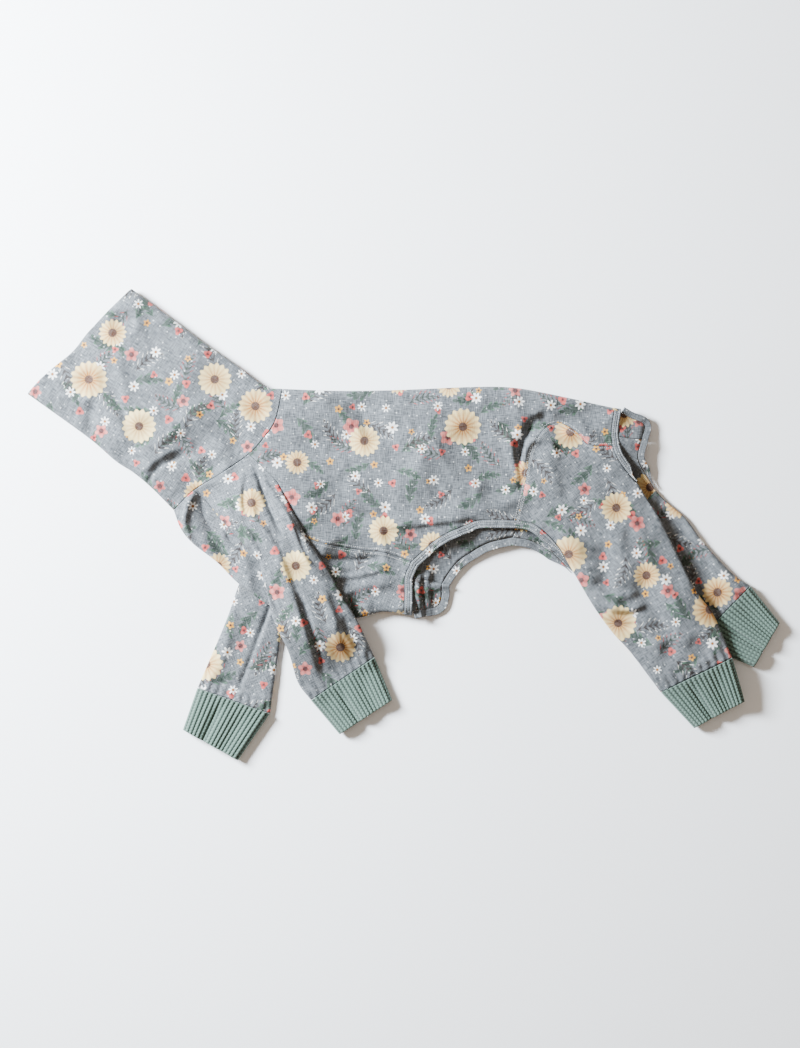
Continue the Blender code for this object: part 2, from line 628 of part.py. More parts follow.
def band_strip(line, heights, gaps, width, side):
    """A strip of points beside a sewn edge, on its open side."""
    run = np.gradient(line, axis=0)
    normal = np.stack((-run[:, 1], run[:, 0]), axis=1) / np.linalg.norm(run, axis=1, keepdims=True)
    inner = with_height(line + side * normal * gaps[:, None], heights)
    outer = with_height(line + side * normal * (gaps + width)[:, None], heights)
    middle = (inner + outer) / 2
    return np.stack((inner, middle, outer), axis=1)


def make_binding(name, lie, curves, opening, far, material):
    """A sewn band beside one side of the belly or tail opening."""
    cloth = Cloth(name, BAND_CLOTH, material)
    mark = "far_" if far else ""
    end_name, thigh, side = (("chest_end", "thigh_front", -1) if opening == "belly" else
                             ("tail_end", "thigh_back", 1))
    # On the far side the band starts at the corner of the edge
    start = len(FOLD_ROWS) // 2 + 1 if far else 0
    shares, full = shares_of(FOLD_ROWS)[start:], fullness_of(FOLD_ROWS)[start:]
    first = along(curves[mark + end_name], shares)
    line, parts = [first], [full]
    if opening == "belly":
        line.append(along(curves[mark + "arch"], even(ARCH_CELLS))[1:])
        parts.append(np.ones(ARCH_CELLS))
    line.append(along(curves[mark + thigh], even(THIGH_CELLS))[1:])
    parts.append(np.ones(THIGH_CELLS))
    line, parts = np.concatenate(line), np.concatenate(parts)
    direction = -1 if far else 1
    heights = lie.far_level(line) + BODY_DEPTH / 2 + direction * BODY_DEPTH / 2 * parts
    closing = smooth(np.arange(THIGH_CELLS + 1) / THIGH_CELLS)
    heights[-THIGH_CELLS - 1:] -= direction * LIMB_DEPTH / 2 * closing
    heights = np.maximum(heights, BAND_CLOTH / 2)
    # The limb's edge leans out as it closes, and the band stops short of its fold
    gaps = np.full(len(line), SEAM_GAP / 2)
    gaps[-THIGH_CELLS - 1:] += LEAN * JERSEY * closing
    line[-1] += (line[-2] - line[-1]) * BAND_END
    heights[-1] += (heights[-2] - heights[-1]) * BAND_END
    width = BAND_WIDTH if opening == "belly" else TAIL_BAND_WIDTH
    cloth.layer(band_strip(line, heights, gaps, width, side), facing_up=not far)
    return cloth.build()


def centre_on_floor(made):
    """Moves the garment so that the middle of its underside's box is the origin."""
    graph = bpy.context.evaluated_depsgraph_get()
    corners = []
    for piece in made:
        mesh = piece.evaluated_get(graph).to_mesh()
        corners.extend(vertex.co[:] for vertex in mesh.vertices)
    low, high = np.min(corners, axis=0), np.max(corners, axis=0)
    shift = Matrix.Translation((-(low[0] + high[0]) / 2, -(low[1] + high[1]) / 2, -low[2]))
    for piece in made:
        piece.data.transform(shift)


def build_jumpsuit():
    clear_scene()
    places, curves = set_out_places()
    lie = Lie(places, curves)
    jersey = [cloth_material(f"printed jersey {place}", (0.52, 0.53, 0.56), 0.85)
              for place in ("neck", "back", "chest", "left sleeve", "right sleeve", "left leg", "right leg")]
    cuffs = [cloth_material(f"ribbed cuff {place}", (0.42, 0.52, 0.41), 0.9)
             for place in ("front left", "front right", "hind left", "hind right")]
    bands = [cloth_material(f"binding {place}", (0.55, 0.56, 0.58), 0.85)
             for place in ("belly left", "belly right", "tail left", "tail right")]
    made = [
        make_neck_tube(lie, curves, jersey[0]),
        make_back_panel(lie, curves, jersey[1]),
        make_chest_panel(lie, curves, jersey[2]),
        make_limb("front_sleeve_left", "sleeve", lie, curves, False, jersey[3]),
        make_limb("front_sleeve_right", "sleeve", lie, curves, True, jersey[4]),
        make_limb("hind_leg_left", "leg", lie, curves, False, jersey[5]),
        make_limb("hind_leg_right", "leg", lie, curves, True, jersey[6]),
        make_cuff("front_cuff_left", lie, curves, "sleeve", False, cuffs[0]),
        make_cuff("front_cuff_right", lie, curves, "sleeve", True, cuffs[1]),
        make_cuff("hind_cuff_left", lie, curves, "leg", False, cuffs[2]),
        make_cuff("hind_cuff_right", lie, curves, "leg", True, cuffs[3]),
        make_binding("belly_binding_left", lie, curves, "belly", False, bands[0]),
        make_binding("belly_binding_right", lie, curves, "belly", True, bands[1]),
        make_binding("tail_binding_left", lie, curves, "tail", False, bands[2]),
        make_binding("tail_binding_right", lie, curves, "tail", True, bands[3]),
    ]
    centre_on_floor(made)


build_jumpsuit()
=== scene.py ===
# %% [markdown]
# Jersey jumpsuit for a slim small dog, laid flat on its right side.
# It is sewn from light printed jersey: a tall snood neck, one cloth round the back, one round the chest,
# four legs and ribbed cuffs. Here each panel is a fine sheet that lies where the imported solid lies.

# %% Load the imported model
import math
import bpy
import numpy as np
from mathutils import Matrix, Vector


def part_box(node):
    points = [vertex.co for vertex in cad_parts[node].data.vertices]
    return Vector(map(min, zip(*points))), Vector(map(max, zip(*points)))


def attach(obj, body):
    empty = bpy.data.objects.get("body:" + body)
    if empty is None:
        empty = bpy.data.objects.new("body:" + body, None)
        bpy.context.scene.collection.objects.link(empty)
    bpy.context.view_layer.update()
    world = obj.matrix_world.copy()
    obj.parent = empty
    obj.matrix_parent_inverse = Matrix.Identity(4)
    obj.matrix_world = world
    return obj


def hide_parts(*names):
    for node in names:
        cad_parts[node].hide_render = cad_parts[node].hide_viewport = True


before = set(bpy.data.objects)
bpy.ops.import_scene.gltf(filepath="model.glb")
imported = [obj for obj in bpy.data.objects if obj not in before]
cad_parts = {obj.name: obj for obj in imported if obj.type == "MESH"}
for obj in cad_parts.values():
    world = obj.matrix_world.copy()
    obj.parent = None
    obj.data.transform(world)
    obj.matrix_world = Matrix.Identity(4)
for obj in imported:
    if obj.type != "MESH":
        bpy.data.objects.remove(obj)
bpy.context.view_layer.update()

# %% [markdown]
# Three helpers serve the whole lesson: one turns a colour code to linear light, one adds a node to any tree,
# and one eases a number from 0 to 1. A node may be handed to another one as its input.

# %% Small helpers
MATH = "ShaderNodeMath"
VECTOR = "ShaderNodeVectorMath"
MIX = "ShaderNodeMix"
COLOUR = {"data_type": "RGBA"}


def linear(code):
    """An sRGB hex colour as linear values with full opacity."""
    parts = [int(code[i:i + 2], 16) / 255 for i in (1, 3, 5)]
    return (*[c / 12.92 if c <= 0.04045 else ((c + 0.055) / 1.055) ** 2.4 for c in parts], 1.0)


def add(tree, kind, settings=None, inputs=None):
    """Adds one node. Settings in one word name its operation, and a node as an input gives its output."""
    node = tree.nodes.new(kind)
    if isinstance(settings, str):
        settings = {"operation": settings}
    if isinstance(inputs, tuple):
        inputs = dict(enumerate(inputs))
    for name, value in (settings or {}).items():
        setattr(node, name, value)
    for key, value in (inputs or {}).items():
        if isinstance(value, bpy.types.Node):
            value = next(socket for socket in value.outputs if socket.enabled)
        if isinstance(value, bpy.types.NodeSocket):
            tree.links.new(value, node.inputs[key])
        else:
            node.inputs[key].default_value = value
    return node


def smooth(share):
    """An even ease from 0 to 1."""
    share = np.clip(share, 0.0, 1.0)
    return share * share * (3 - 2 * share)


print("middle grey in linear light:", round(linear("#808080")[0], 3))
print("eased quarters:", smooth(np.array((0.25, 0.5, 0.75))))

# %% [markdown]
# The camera looks straight down, as the garment was seen. A long lens keeps the plan true.

# %% Camera
FIELD = 1.2052
CAMERA_HEIGHT = 3.0
AIM = (-0.0046, 0.0006, 0.0)

lens = bpy.data.cameras.new("camera")
lens.sensor_fit = "VERTICAL"
lens.sensor_height = 24.0
lens.lens = lens.sensor_height * CAMERA_HEIGHT / FIELD
camera = bpy.data.objects.new("camera", lens)
camera.location = (AIM[0], AIM[1], CAMERA_HEIGHT)
bpy.context.collection.objects.link(camera)
bpy.context.scene.camera = camera
print("lens (mm):", round(lens.lens, 1))

# %% [markdown]
# A bright window low on the left draws the folds. A wide lamp overhead and a warm room fill the shadows.
# The window is bright, so the colours of the cloth below are darker than they look in the picture.

# %% Light
LIGHTS = (
    # name, place, watts, size of the soft box
    ("window", (-1.45, 0.65, 0.92), 305.0, 0.55),
    ("ceiling", (0.4, 0.5, 2.6), 8.0, 2.2),
)
ROOM_STRENGTH = 0.46
for name, place, watts, size in LIGHTS:
    lamp = bpy.data.lights.new(name, "AREA")
    lamp.energy = watts
    lamp.size = size
    lamp.color = linear("#ECF6FF")[:3]
    made = bpy.data.objects.new(name, lamp)
    made.location = place
    made.rotation_euler = (Vector(AIM) - Vector(place)).to_track_quat("-Z", "Y").to_euler()
    bpy.context.collection.objects.link(made)

world = bpy.data.worlds.new("room")
world.use_nodes = True
room = world.node_tree.nodes["Background"]
room.inputs["Color"].default_value = linear("#F4DEC4")
room.inputs["Strength"].default_value = ROOM_STRENGTH
bpy.context.scene.world = world
print("lights:", [name for name, *rest in LIGHTS])

# %% [markdown]
# The garment lies on a matt white board, which is stage and no part of it.

# %% Board
BOARD_HALF = 4.0
BOARD_DROP = 0.0003
CORNERS = ((-1, -1), (1, -1), (1, 1), (-1, 1))
floor_mesh = bpy.data.meshes.new("floor")
board_points = [(x * BOARD_HALF, y * BOARD_HALF, -BOARD_DROP) for x, y in CORNERS]
floor_mesh.from_pydata(board_points, [], [(0, 1, 2, 3)])
floor = bpy.data.objects.new("floor", floor_mesh)
bpy.context.collection.objects.link(floor)
paint = bpy.data.materials.new("matt white board")
paint.use_nodes = True
coat = paint.node_tree.nodes["Principled BSDF"]
coat.inputs["Base Color"].default_value = linear("#F7F7F8")
coat.inputs["Roughness"].default_value = 0.9
floor_mesh.materials.append(paint)
print("board:", 2 * BOARD_HALF, "m square")

# %% [markdown]
# The pattern of the garment. Each place is a length away from another one, in a direction, and each edge
# runs smoothly between two places. The same values set out the solids, so a cloth lies where its solid does.

# %% Sizes
JERSEY = 0.0012
CUFF_KNIT = 0.0020
BAND_WIDTH = 0.0085
TAIL_BAND_WIDTH = 0.0070
SEAM_GAP = 0.0005
LAYER_GAP = 0.0006
LIMB_DEPTH = 0.0070
BODY_DEPTH = 2 * LIMB_DEPTH + JERSEY + LAYER_GAP
STACK_RISE = LIMB_DEPTH + JERSEY + LAYER_GAP
DRAPE_REACH = 0.060
DRAPE_MARGIN = 0.008
RIB_PITCH = 0.0054
RIB_HEIGHT = 0.0007
CUFF_DEPTH = LIMB_DEPTH + CUFF_KNIT - JERSEY + RIB_HEIGHT
CELL = 0.0017

BACK_LENGTH = 0.381
TAIL_OPENING = 0.043
NECK_BASE = 0.186
NECK_TOP = 0.208
NECK_UNDERSIDE = 0.214
BRISKET_LENGTH = 0.290
RAGLAN_LENGTH = 0.113
SIDE_SEAM = 0.123
BELLY_ARCH = 0.129
SLEEVE_LENGTH = 0.168
THIGH_EDGE = 0.073
LEG_LENGTH = 0.187
FAR_LEG_LENGTH = 0.158
CUFF_TOP = 0.087
FRONT_CUFF_MOUTH = 0.071
FRONT_CUFF_LENGTH = 0.051
HIND_CUFF_TOP = 0.089
HIND_CUFF_MOUTH = 0.064
HIND_CUFF_LENGTH = 0.056
BELLY_SHIFT = 0.043
TAIL_SHIFT = 0.034
SLEEVE_ON_NECK = (0.445, 0.835)
BACK_STOPS = (0.17, 0.41, 0.62)
print("body depth (mm):", round(BODY_DEPTH * 1000, 1), "cuff depth (mm):", round(CUFF_DEPTH * 1000, 1))

# %% Places
PLACES = (
    # place, measured from, length, direction
    ("tail", "nape", BACK_LENGTH, -3.3),
    ("throat", "nape", NECK_BASE, -132.0),
    ("mouth_top", "nape", NECK_TOP, 146.5),
    ("mouth_low", "throat", NECK_UNDERSIDE, 141.5),
    ("brisket", "throat", BRISKET_LENGTH, -24.4),
    ("pit_front", "shoulder_front", RAGLAN_LENGTH, -47.1),
    ("pit_back", "shoulder_back", RAGLAN_LENGTH * 1.03, -55.1),
    ("flank", "pit_back", SIDE_SEAM, -13.0),
    ("groin", "flank", BELLY_ARCH, 21.5),
    ("tail_low", "tail", TAIL_OPENING, -93.1),
    ("thigh_front", "groin", THIGH_EDGE, -38.0),
    ("thigh_back", "tail_low", THIGH_EDGE * 0.70, -57.0),
    ("sleeve_front_end", "pit_front", SLEEVE_LENGTH, -69.9),
    ("sleeve_back_end", "sleeve_front_end", CUFF_TOP, 34.2),
    ("leg_front_end", "thigh_front", LEG_LENGTH, -54.4),
    ("leg_back_end", "leg_front_end", HIND_CUFF_TOP, 26.7),
    ("far_pit_front", "shoulder_front", RAGLAN_LENGTH * 0.92, -50.8),
    ("far_pit_back", "shoulder_back", RAGLAN_LENGTH * 1.04, -65.0),
    ("far_sleeve_front_end", "far_pit_front", SLEEVE_LENGTH * 0.943, -112.7),
    ("far_sleeve_back_end", "far_sleeve_front_end", CUFF_TOP, -19.6),
    ("far_flank", "flank", BELLY_SHIFT, -36.3),
    ("far_groin", "far_flank", BELLY_ARCH * 0.75, 33.3),
    ("far_tail_low", "tail", TAIL_SHIFT * 1.40, -48.9),
    ("far_thigh_front", "far_groin", THIGH_EDGE * 1.15, -30.4),
    ("far_thigh_back", "far_tail_low", THIGH_EDGE * 0.83, -74.6),
    ("far_leg_front_end", "far_thigh_front", FAR_LEG_LENGTH, -29.2),
    ("far_leg_back_end", "far_leg_front_end", HIND_CUFF_TOP, 45.5),
    ("front_mouth_front", "sleeve_front_end", FRONT_CUFF_LENGTH, -50.1),
    ("front_mouth_back", "front_mouth_front", FRONT_CUFF_MOUTH, 33.1),
    ("hind_mouth_front", "leg_front_end", HIND_CUFF_LENGTH, -47.0),
    ("hind_mouth_back", "hind_mouth_front", HIND_CUFF_MOUTH, 28.6),
    ("far_front_mouth_front", "far_sleeve_front_end", FRONT_CUFF_LENGTH, -109.2),
    ("far_front_mouth_back", "far_front_mouth_front", FRONT_CUFF_MOUTH, -29.1),
    ("far_hind_mouth_front", "far_leg_front_end", HIND_CUFF_LENGTH * 1.30, -23.0),
    ("far_hind_mouth_back", "far_hind_mouth_front", HIND_CUFF_MOUTH * 0.90, 59.8),
)
print(len(PLACES), "places")

# %% Edges
EDGES = {
    # edge: start, end, rows of (along, aside) as shares of its length
    "back": ("nape", "tail", ((0.17, 0.004), (0.35, 0.017), (0.56, 0.038), (0.68, 0.044), (0.79, 0.033))),
    "neck_base": ("nape", "throat", ((0.17, 0.096), (0.30, 0.116), (0.44, 0.113), (0.67, 0.057),
                                     (0.83, 0.009))),
    "neck_back": ("nape", "mouth_top", ((0.09, 0.041), (0.29, 0.033), (0.51, 0.028), (0.70, 0.016))),
    "neck_under": ("throat", "mouth_low", ((0.17, -0.02), (0.30, -0.023), (0.41, -0.012), (0.60, -0.019))),
    "mouth": ("mouth_top", "mouth_low", ((0.37, 0.003), (0.59, 0.021), (0.80, 0.001))),
    "chest_fold": ("throat", "brisket", ((0.055, -0.054), (0.123, -0.088), (0.244, -0.116), (0.355, -0.157),
                                         (0.506, -0.185), (0.663, -0.166), (0.83, -0.09), (0.917, -0.024))),
    "raglan_front": ("shoulder_front", "pit_front", ((0.17, 0.013), (0.39, 0.0), (0.66, 0.002))),
    "raglan_back": ("shoulder_back", "pit_back", ((0.16, 0.035), (0.36, 0.071), (0.52, 0.057))),
    "pit": ("pit_front", "pit_back", ()),
    "side_seam": ("pit_back", "flank", ((0.22, -0.018), (0.56, 0.004), (0.74, 0.027))),
    "chest_end": ("brisket", "flank", ((0.42, 0.050), (0.70, 0.082))),
    "arch": ("flank", "groin", ((0.10, 0.037), (0.21, 0.082), (0.36, 0.116), (0.57, 0.122), (0.70, 0.118))),
    "hip": ("groin", "tail_low", ((0.21, 0.167), (0.42, 0.356), (0.61, 0.449), (0.76, 0.425), (0.83, 0.289),
                                  (0.85, 0.131))),
    "thigh_front": ("groin", "thigh_front", ((0.23, 0.118), (0.52, 0.133), (0.80, 0.081))),
    "thigh_back": ("tail_low", "thigh_back", ((0.31, -0.065), (0.78, -0.047))),
    "tail_end": ("tail", "tail_low", ((0.60, -0.049),)),
    "crotch": ("thigh_front", "thigh_back", ()),
    "sleeve_front": ("pit_front", "sleeve_front_end", ((0.13, -0.019), (0.27, -0.031), (0.40, -0.044),
                                                       (0.63, -0.027), (0.85, -0.041))),
    "sleeve_back": ("pit_back", "sleeve_back_end", ((0.30, 0.019), (0.50, 0.016), (0.70, 0.023))),
    "sleeve_end": ("sleeve_front_end", "sleeve_back_end", ()),
    "leg_front": ("thigh_front", "leg_front_end", ((0.33, -0.030), (0.53, -0.028), (0.70, -0.008))),
    "leg_back": ("thigh_back", "leg_back_end", ((0.09, 0.004), (0.23, 0.013), (0.60, -0.001), (0.76, 0.021))),
    "leg_end": ("leg_front_end", "leg_back_end", ()),
    "far_raglan_front": ("shoulder_front", "far_pit_front", ()),
    "far_raglan_back": ("shoulder_back", "far_pit_back", ((0.36, 0.050), (0.52, 0.045))),
    "far_pit": ("far_pit_front", "far_pit_back", ()),
    "far_side_seam": ("far_pit_back", "far_flank", ()),
    "far_chest_end": ("brisket", "far_flank", ((0.28, -0.11), (0.62, -0.30), (0.83, -0.20))),
    "far_arch": ("far_flank", "far_groin", ((0.27, 0.108), (0.54, 0.119), (0.75, 0.094))),
    "far_hip": ("far_groin", "far_tail_low", ((0.25, 0.12), (0.50, 0.22), (0.75, 0.22))),
    "far_thigh_front": ("far_groin", "far_thigh_front", ((0.23, 0.089), (0.49, 0.113), (0.72, 0.073))),
    "far_thigh_back": ("far_tail_low", "far_thigh_back", ((0.31, -0.163), (0.66, -0.102))),
    "far_tail_end": ("tail", "far_tail_low", ((0.40, 0.13), (0.77, 0.29))),
    "far_crotch": ("far_thigh_front", "far_thigh_back", ()),
    "far_sleeve_front": ("far_pit_front", "far_sleeve_front_end", ((0.20, -0.013), (0.48, 0.003))),
    "far_sleeve_back": ("far_pit_back", "far_sleeve_back_end", ()),
    "far_sleeve_end": ("far_sleeve_front_end", "far_sleeve_back_end", ()),
    "far_leg_front": ("far_thigh_front", "far_leg_front_end", ((0.3, -0.04), (0.7, -0.02))),
    "far_leg_back": ("far_thigh_back", "far_leg_back_end", ((0.11, -0.003), (0.30, 0.012), (0.53, -0.02),
                                                            (0.84, -0.03))),
    "far_leg_end": ("far_leg_front_end", "far_leg_back_end", ()),
}
for mark in ("", "far_"):
    for tube, paw in (("sleeve", "front"), ("leg", "hind")):
        for side in ("front", "back"):
            EDGES[f"{mark}{paw}_mouth_{side}"] = (f"{mark}{tube}_{side}_end", f"{mark}{paw}_mouth_{side}", ())
        EDGES[f"{mark}{paw}_mouth"] = (f"{mark}{paw}_mouth_front", f"{mark}{paw}_mouth_back", ())
print(len(EDGES), "edges")

# %% [markdown]
# An edge is a smooth curve through its rows. A panel is a grid between four edges: the grid's inner points
# are blended from all four, which is called a Coons patch.

# %% Curves
CURVE_STEPS = 12


def curve(start, end, rows):
    """A smooth plan curve from start to end through rows of shares, as closely spaced points."""
    chord = end - start
    aside = np.array((-chord[1], chord[0]))
    knots = [start] + [start + reach * chord + side * aside for reach, side in rows] + [end]
    return through(knots)


def through(knots):
    """A smooth curve through plan points."""
    knots = [np.asarray(knot, float) for knot in knots]
    knots = np.array([2 * knots[0] - knots[1]] + knots + [2 * knots[-1] - knots[-2]])
    points = []
    for before, first, second, after in zip(knots, knots[1:], knots[2:], knots[3:]):
        for share in np.linspace(0, 1, CURVE_STEPS + 1)[:-1]:
            bend = (2 * before - 5 * first + 4 * second - after) * share ** 2
            twist = (3 * first - before - 3 * second + after) * share ** 3
            points.append(first + 0.5 * ((second - before) * share + bend + twist))
    return np.array(points + [knots[-2]])


def travelled(points):
    """Length run from the start of a curve to each of its points."""
    steps = np.linalg.norm(np.diff(points, axis=0), axis=1)
    return np.concatenate(([0.0], np.cumsum(steps)))


def along(points, shares):
    """Points of a curve at shares of its length."""
    reached = travelled(points)
    wanted = np.asarray(shares) * reached[-1]
    return np.stack([np.interp(wanted, reached, points[:, axis]) for axis in (0, 1)], axis=1)


def even(cells):
    """Shares from 0 to 1 in even cells."""
    return np.linspace(0, 1, cells + 1)


def chain(*stretches):
    """Points along several edges in turn, each given as (points, shares)."""
    pieces = [along(points, shares) for points, shares in stretches]
    return np.concatenate([piece[:-1] for piece in pieces[:-1]] + [pieces[-1]])


print("points on a straight edge:", len(through([(0, 0), (1, 0)])))


# %% Patches
EVEN_PART, CROWDED_PART = 0.55, 0.45


def coons(near, far, start, end):
    """Fills four edges of plan points: near and far run along, start and end across."""
    v = np.linspace(0, 1, len(near))[:, None, None]
    reached = travelled(start)
    u = (reached / reached[-1])[None, :, None]
    lengthwise = (1 - u) * near[:, None] + u * far[:, None]
    crosswise = (1 - v) * start[None] + v * end[None]
    corners = ((1 - u) * (1 - v) * near[0] + u * (1 - v) * far[0]
               + (1 - u) * v * near[-1] + u * v * far[-1])
    return lengthwise + crosswise - corners


def shares_across(cells, folds):
    """Shares across a cloth, closer together towards its one or two folds."""
    t = even(cells)
    close = (1 - np.cos(np.pi * t)) / 2 if folds == 2 else 1 - np.cos(np.pi * t / 2)
    return EVEN_PART * t + CROWDED_PART * close


def round_edge(share, reach, both=True):
    """How fully two layers part at a share of the width, round at the folds."""
    edge = np.minimum(share, 1 - share) if both else share
    inward = np.clip(edge / reach, 0, 1)
    return np.sqrt(np.clip(1 - (1 - inward) ** 2, 0, 1))


print("shares across four cells with two folds:", shares_across(4, 2).round(3))

# %% [markdown]
# The places are set out one from another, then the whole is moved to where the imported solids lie.

# %% Set out the garment
NECK_POINTS = 60
places = {"nape": np.zeros(2)}


def set_out(rows):
    """Works out each place from the one that it is measured from."""
    for place, start, length, direction in rows:
        turn = math.radians(direction)
        places[place] = places[start] + length * np.array((math.cos(turn), math.sin(turn)))


set_out(PLACES[:2])
neck_base = curve(places["nape"], places["throat"], EDGES["neck_base"][2])
places["shoulder_back"], places["shoulder_front"] = along(neck_base, SLEEVE_ON_NECK)
set_out(PLACES[2:])


def all_curves():
    """Every edge as a curve, and the three stretches of the neck seam."""
    made = {name: curve(places[start], places[end], rows) for name, (start, end, rows) in EDGES.items()}
    base = made["neck_base"]
    made["neck_on_back"] = along(base, np.linspace(0, SLEEVE_ON_NECK[0], NECK_POINTS))
    made["neck_on_sleeve"] = along(base, np.linspace(SLEEVE_ON_NECK[1], SLEEVE_ON_NECK[0], NECK_POINTS))
    made["neck_on_chest"] = along(base, np.linspace(1, SLEEVE_ON_NECK[1], NECK_POINTS))
    return made


curves = all_curves()


def plan_middle(names):
    """The middle of the box round a few edges."""
    points = np.concatenate([curves[name] for name in names])
    return (points.min(0) + points.max(0)) / 2


# The solids give the place of the whole: the neck and three cuffs are matched to them
MATCHES = {
    "neck_tube": ("neck_back", "neck_under", "mouth", "neck_base"),
    "front_cuff_right": ("far_sleeve_end", "far_front_mouth"),
    "hind_cuff_right": ("far_leg_end", "far_hind_mouth"),
    "hind_cuff_left": ("leg_end", "hind_mouth"),
}
shifts = []
for node, names in MATCHES.items():
    low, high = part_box(node)
    shifts.append([(low[axis] + high[axis]) / 2 - plan_middle(names)[axis] for axis in (0, 1)])
shift = np.mean(shifts, axis=0)
print("plan moved by", shift, "spread (mm)", np.ptp(shifts, axis=0) * 1000)
for place in places:
    places[place] = places[place] + shift
curves = all_curves()


# %% [markdown]
# A garment lies in layers. The far sleeve and far leg lift what lies over them, and the near sleeve and leg
# drop to the table beyond the body's edge. These few functions give the height of every layer.

# %% How high each layer lies
def nearest(plan, line):
    """Signed distance to a line of points, positive on its left, and the share along it."""
    start, run = line[:-1], np.diff(line, axis=0)
    away = plan[..., None, :] - start
    share = np.clip((away * run).sum(-1) / (run * run).sum(-1), 0, 1)
    gaps = np.linalg.norm(away - share[..., None] * run, axis=-1)
    best = np.argmin(gaps, axis=-1)[..., None]
    cross = run[:, 0] * away[..., 1] - run[:, 1] * away[..., 0]
    side = np.where(np.take_along_axis(cross, best, -1)[..., 0] > 0, 1, -1)
    reached = travelled(line)
    lengths = np.diff(reached)
    at = reached[best[..., 0]] + np.take_along_axis(share, best, -1)[..., 0] * lengths[best[..., 0]]
    return side * np.take_along_axis(gaps, best, -1)[..., 0], at / reached[-1]


def draped(plan, stops, width):
    """1 over a band of a given width along a line of stops, easing to 0 beside it."""
    distance = np.abs(nearest(plan, np.array(stops))[0])
    return smooth(1 + (0.5 * width + DRAPE_MARGIN - distance) / DRAPE_REACH)


def over(plan, line):
    """1 on the left of an edge, easing to 0 within the drape's reach on its right."""
    return smooth(1 + (nearest(plan, line)[0] + DRAPE_MARGIN) / DRAPE_REACH)


def halfway(first, second):
    """The point halfway between two places."""
    return (places[first] + places[second]) / 2


far_sleeve_line = (halfway("shoulder_back", "shoulder_front"), halfway("far_pit_front", "far_pit_back"),
                   halfway("far_sleeve_front_end", "far_sleeve_back_end"))
far_cuff_line = (halfway("far_leg_front_end", "far_leg_back_end"),
                 halfway("far_hind_mouth_front", "far_hind_mouth_back"))
CHEST_EDGE_CELLS = 24
chest_edge = along(curves["chest_fold"], even(CHEST_EDGE_CELLS))
far_leg_edge = np.concatenate((curves["far_thigh_front"], curves["far_leg_front"][1:],
                               curves["far_hind_mouth_front"][1:]))


def down_sleeve(plan):
    """How far down the far sleeve's head a point lies, as a share."""
    down = far_sleeve_line[1] - far_sleeve_line[0]
    return ((plan - far_sleeve_line[0]) @ down) / (down @ down)


lifted = min(down_sleeve(places["far_pit_front"]), down_sleeve(places["far_pit_back"]))


def rise(plan):
    """Lift of the body over the far sleeve."""
    return STACK_RISE * smooth(down_sleeve(plan) / lifted) * draped(plan, far_sleeve_line, CUFF_TOP)


def far_level(plan):
    """Height of the body's lower layer."""
    return JERSEY / 2 + rise(plan)


def near_level(plan):
    """Height of the body's upper layer."""
    return far_level(plan) + BODY_DEPTH


def under_sleeve(plan):
    """How high the near sleeve is carried by what lies under it."""
    return rise(plan) + (BODY_DEPTH + JERSEY + LAYER_GAP) * over(plan, chest_edge)


def under_leg(plan):
    """How high the near leg is carried by what lies under it."""
    thicker = CUFF_DEPTH + CUFF_KNIT + RIB_HEIGHT + LAYER_GAP - STACK_RISE
    return STACK_RISE * over(plan, far_leg_edge) + thicker * draped(plan, far_cuff_line, HIND_CUFF_TOP)


print("body lifted over the far sleeve by (mm):", round(STACK_RISE * 1000, 1))

# %% [markdown]
# Folds make cloth look like cloth. Each row is one fold: a line across the flat view, how wide it is on its
# left and right, and how high it stands. A fold that is narrow on one side drops sharply there, as a
# turned-over pleat does. The view is read in steps of 1.15 mm, from its top left corner.

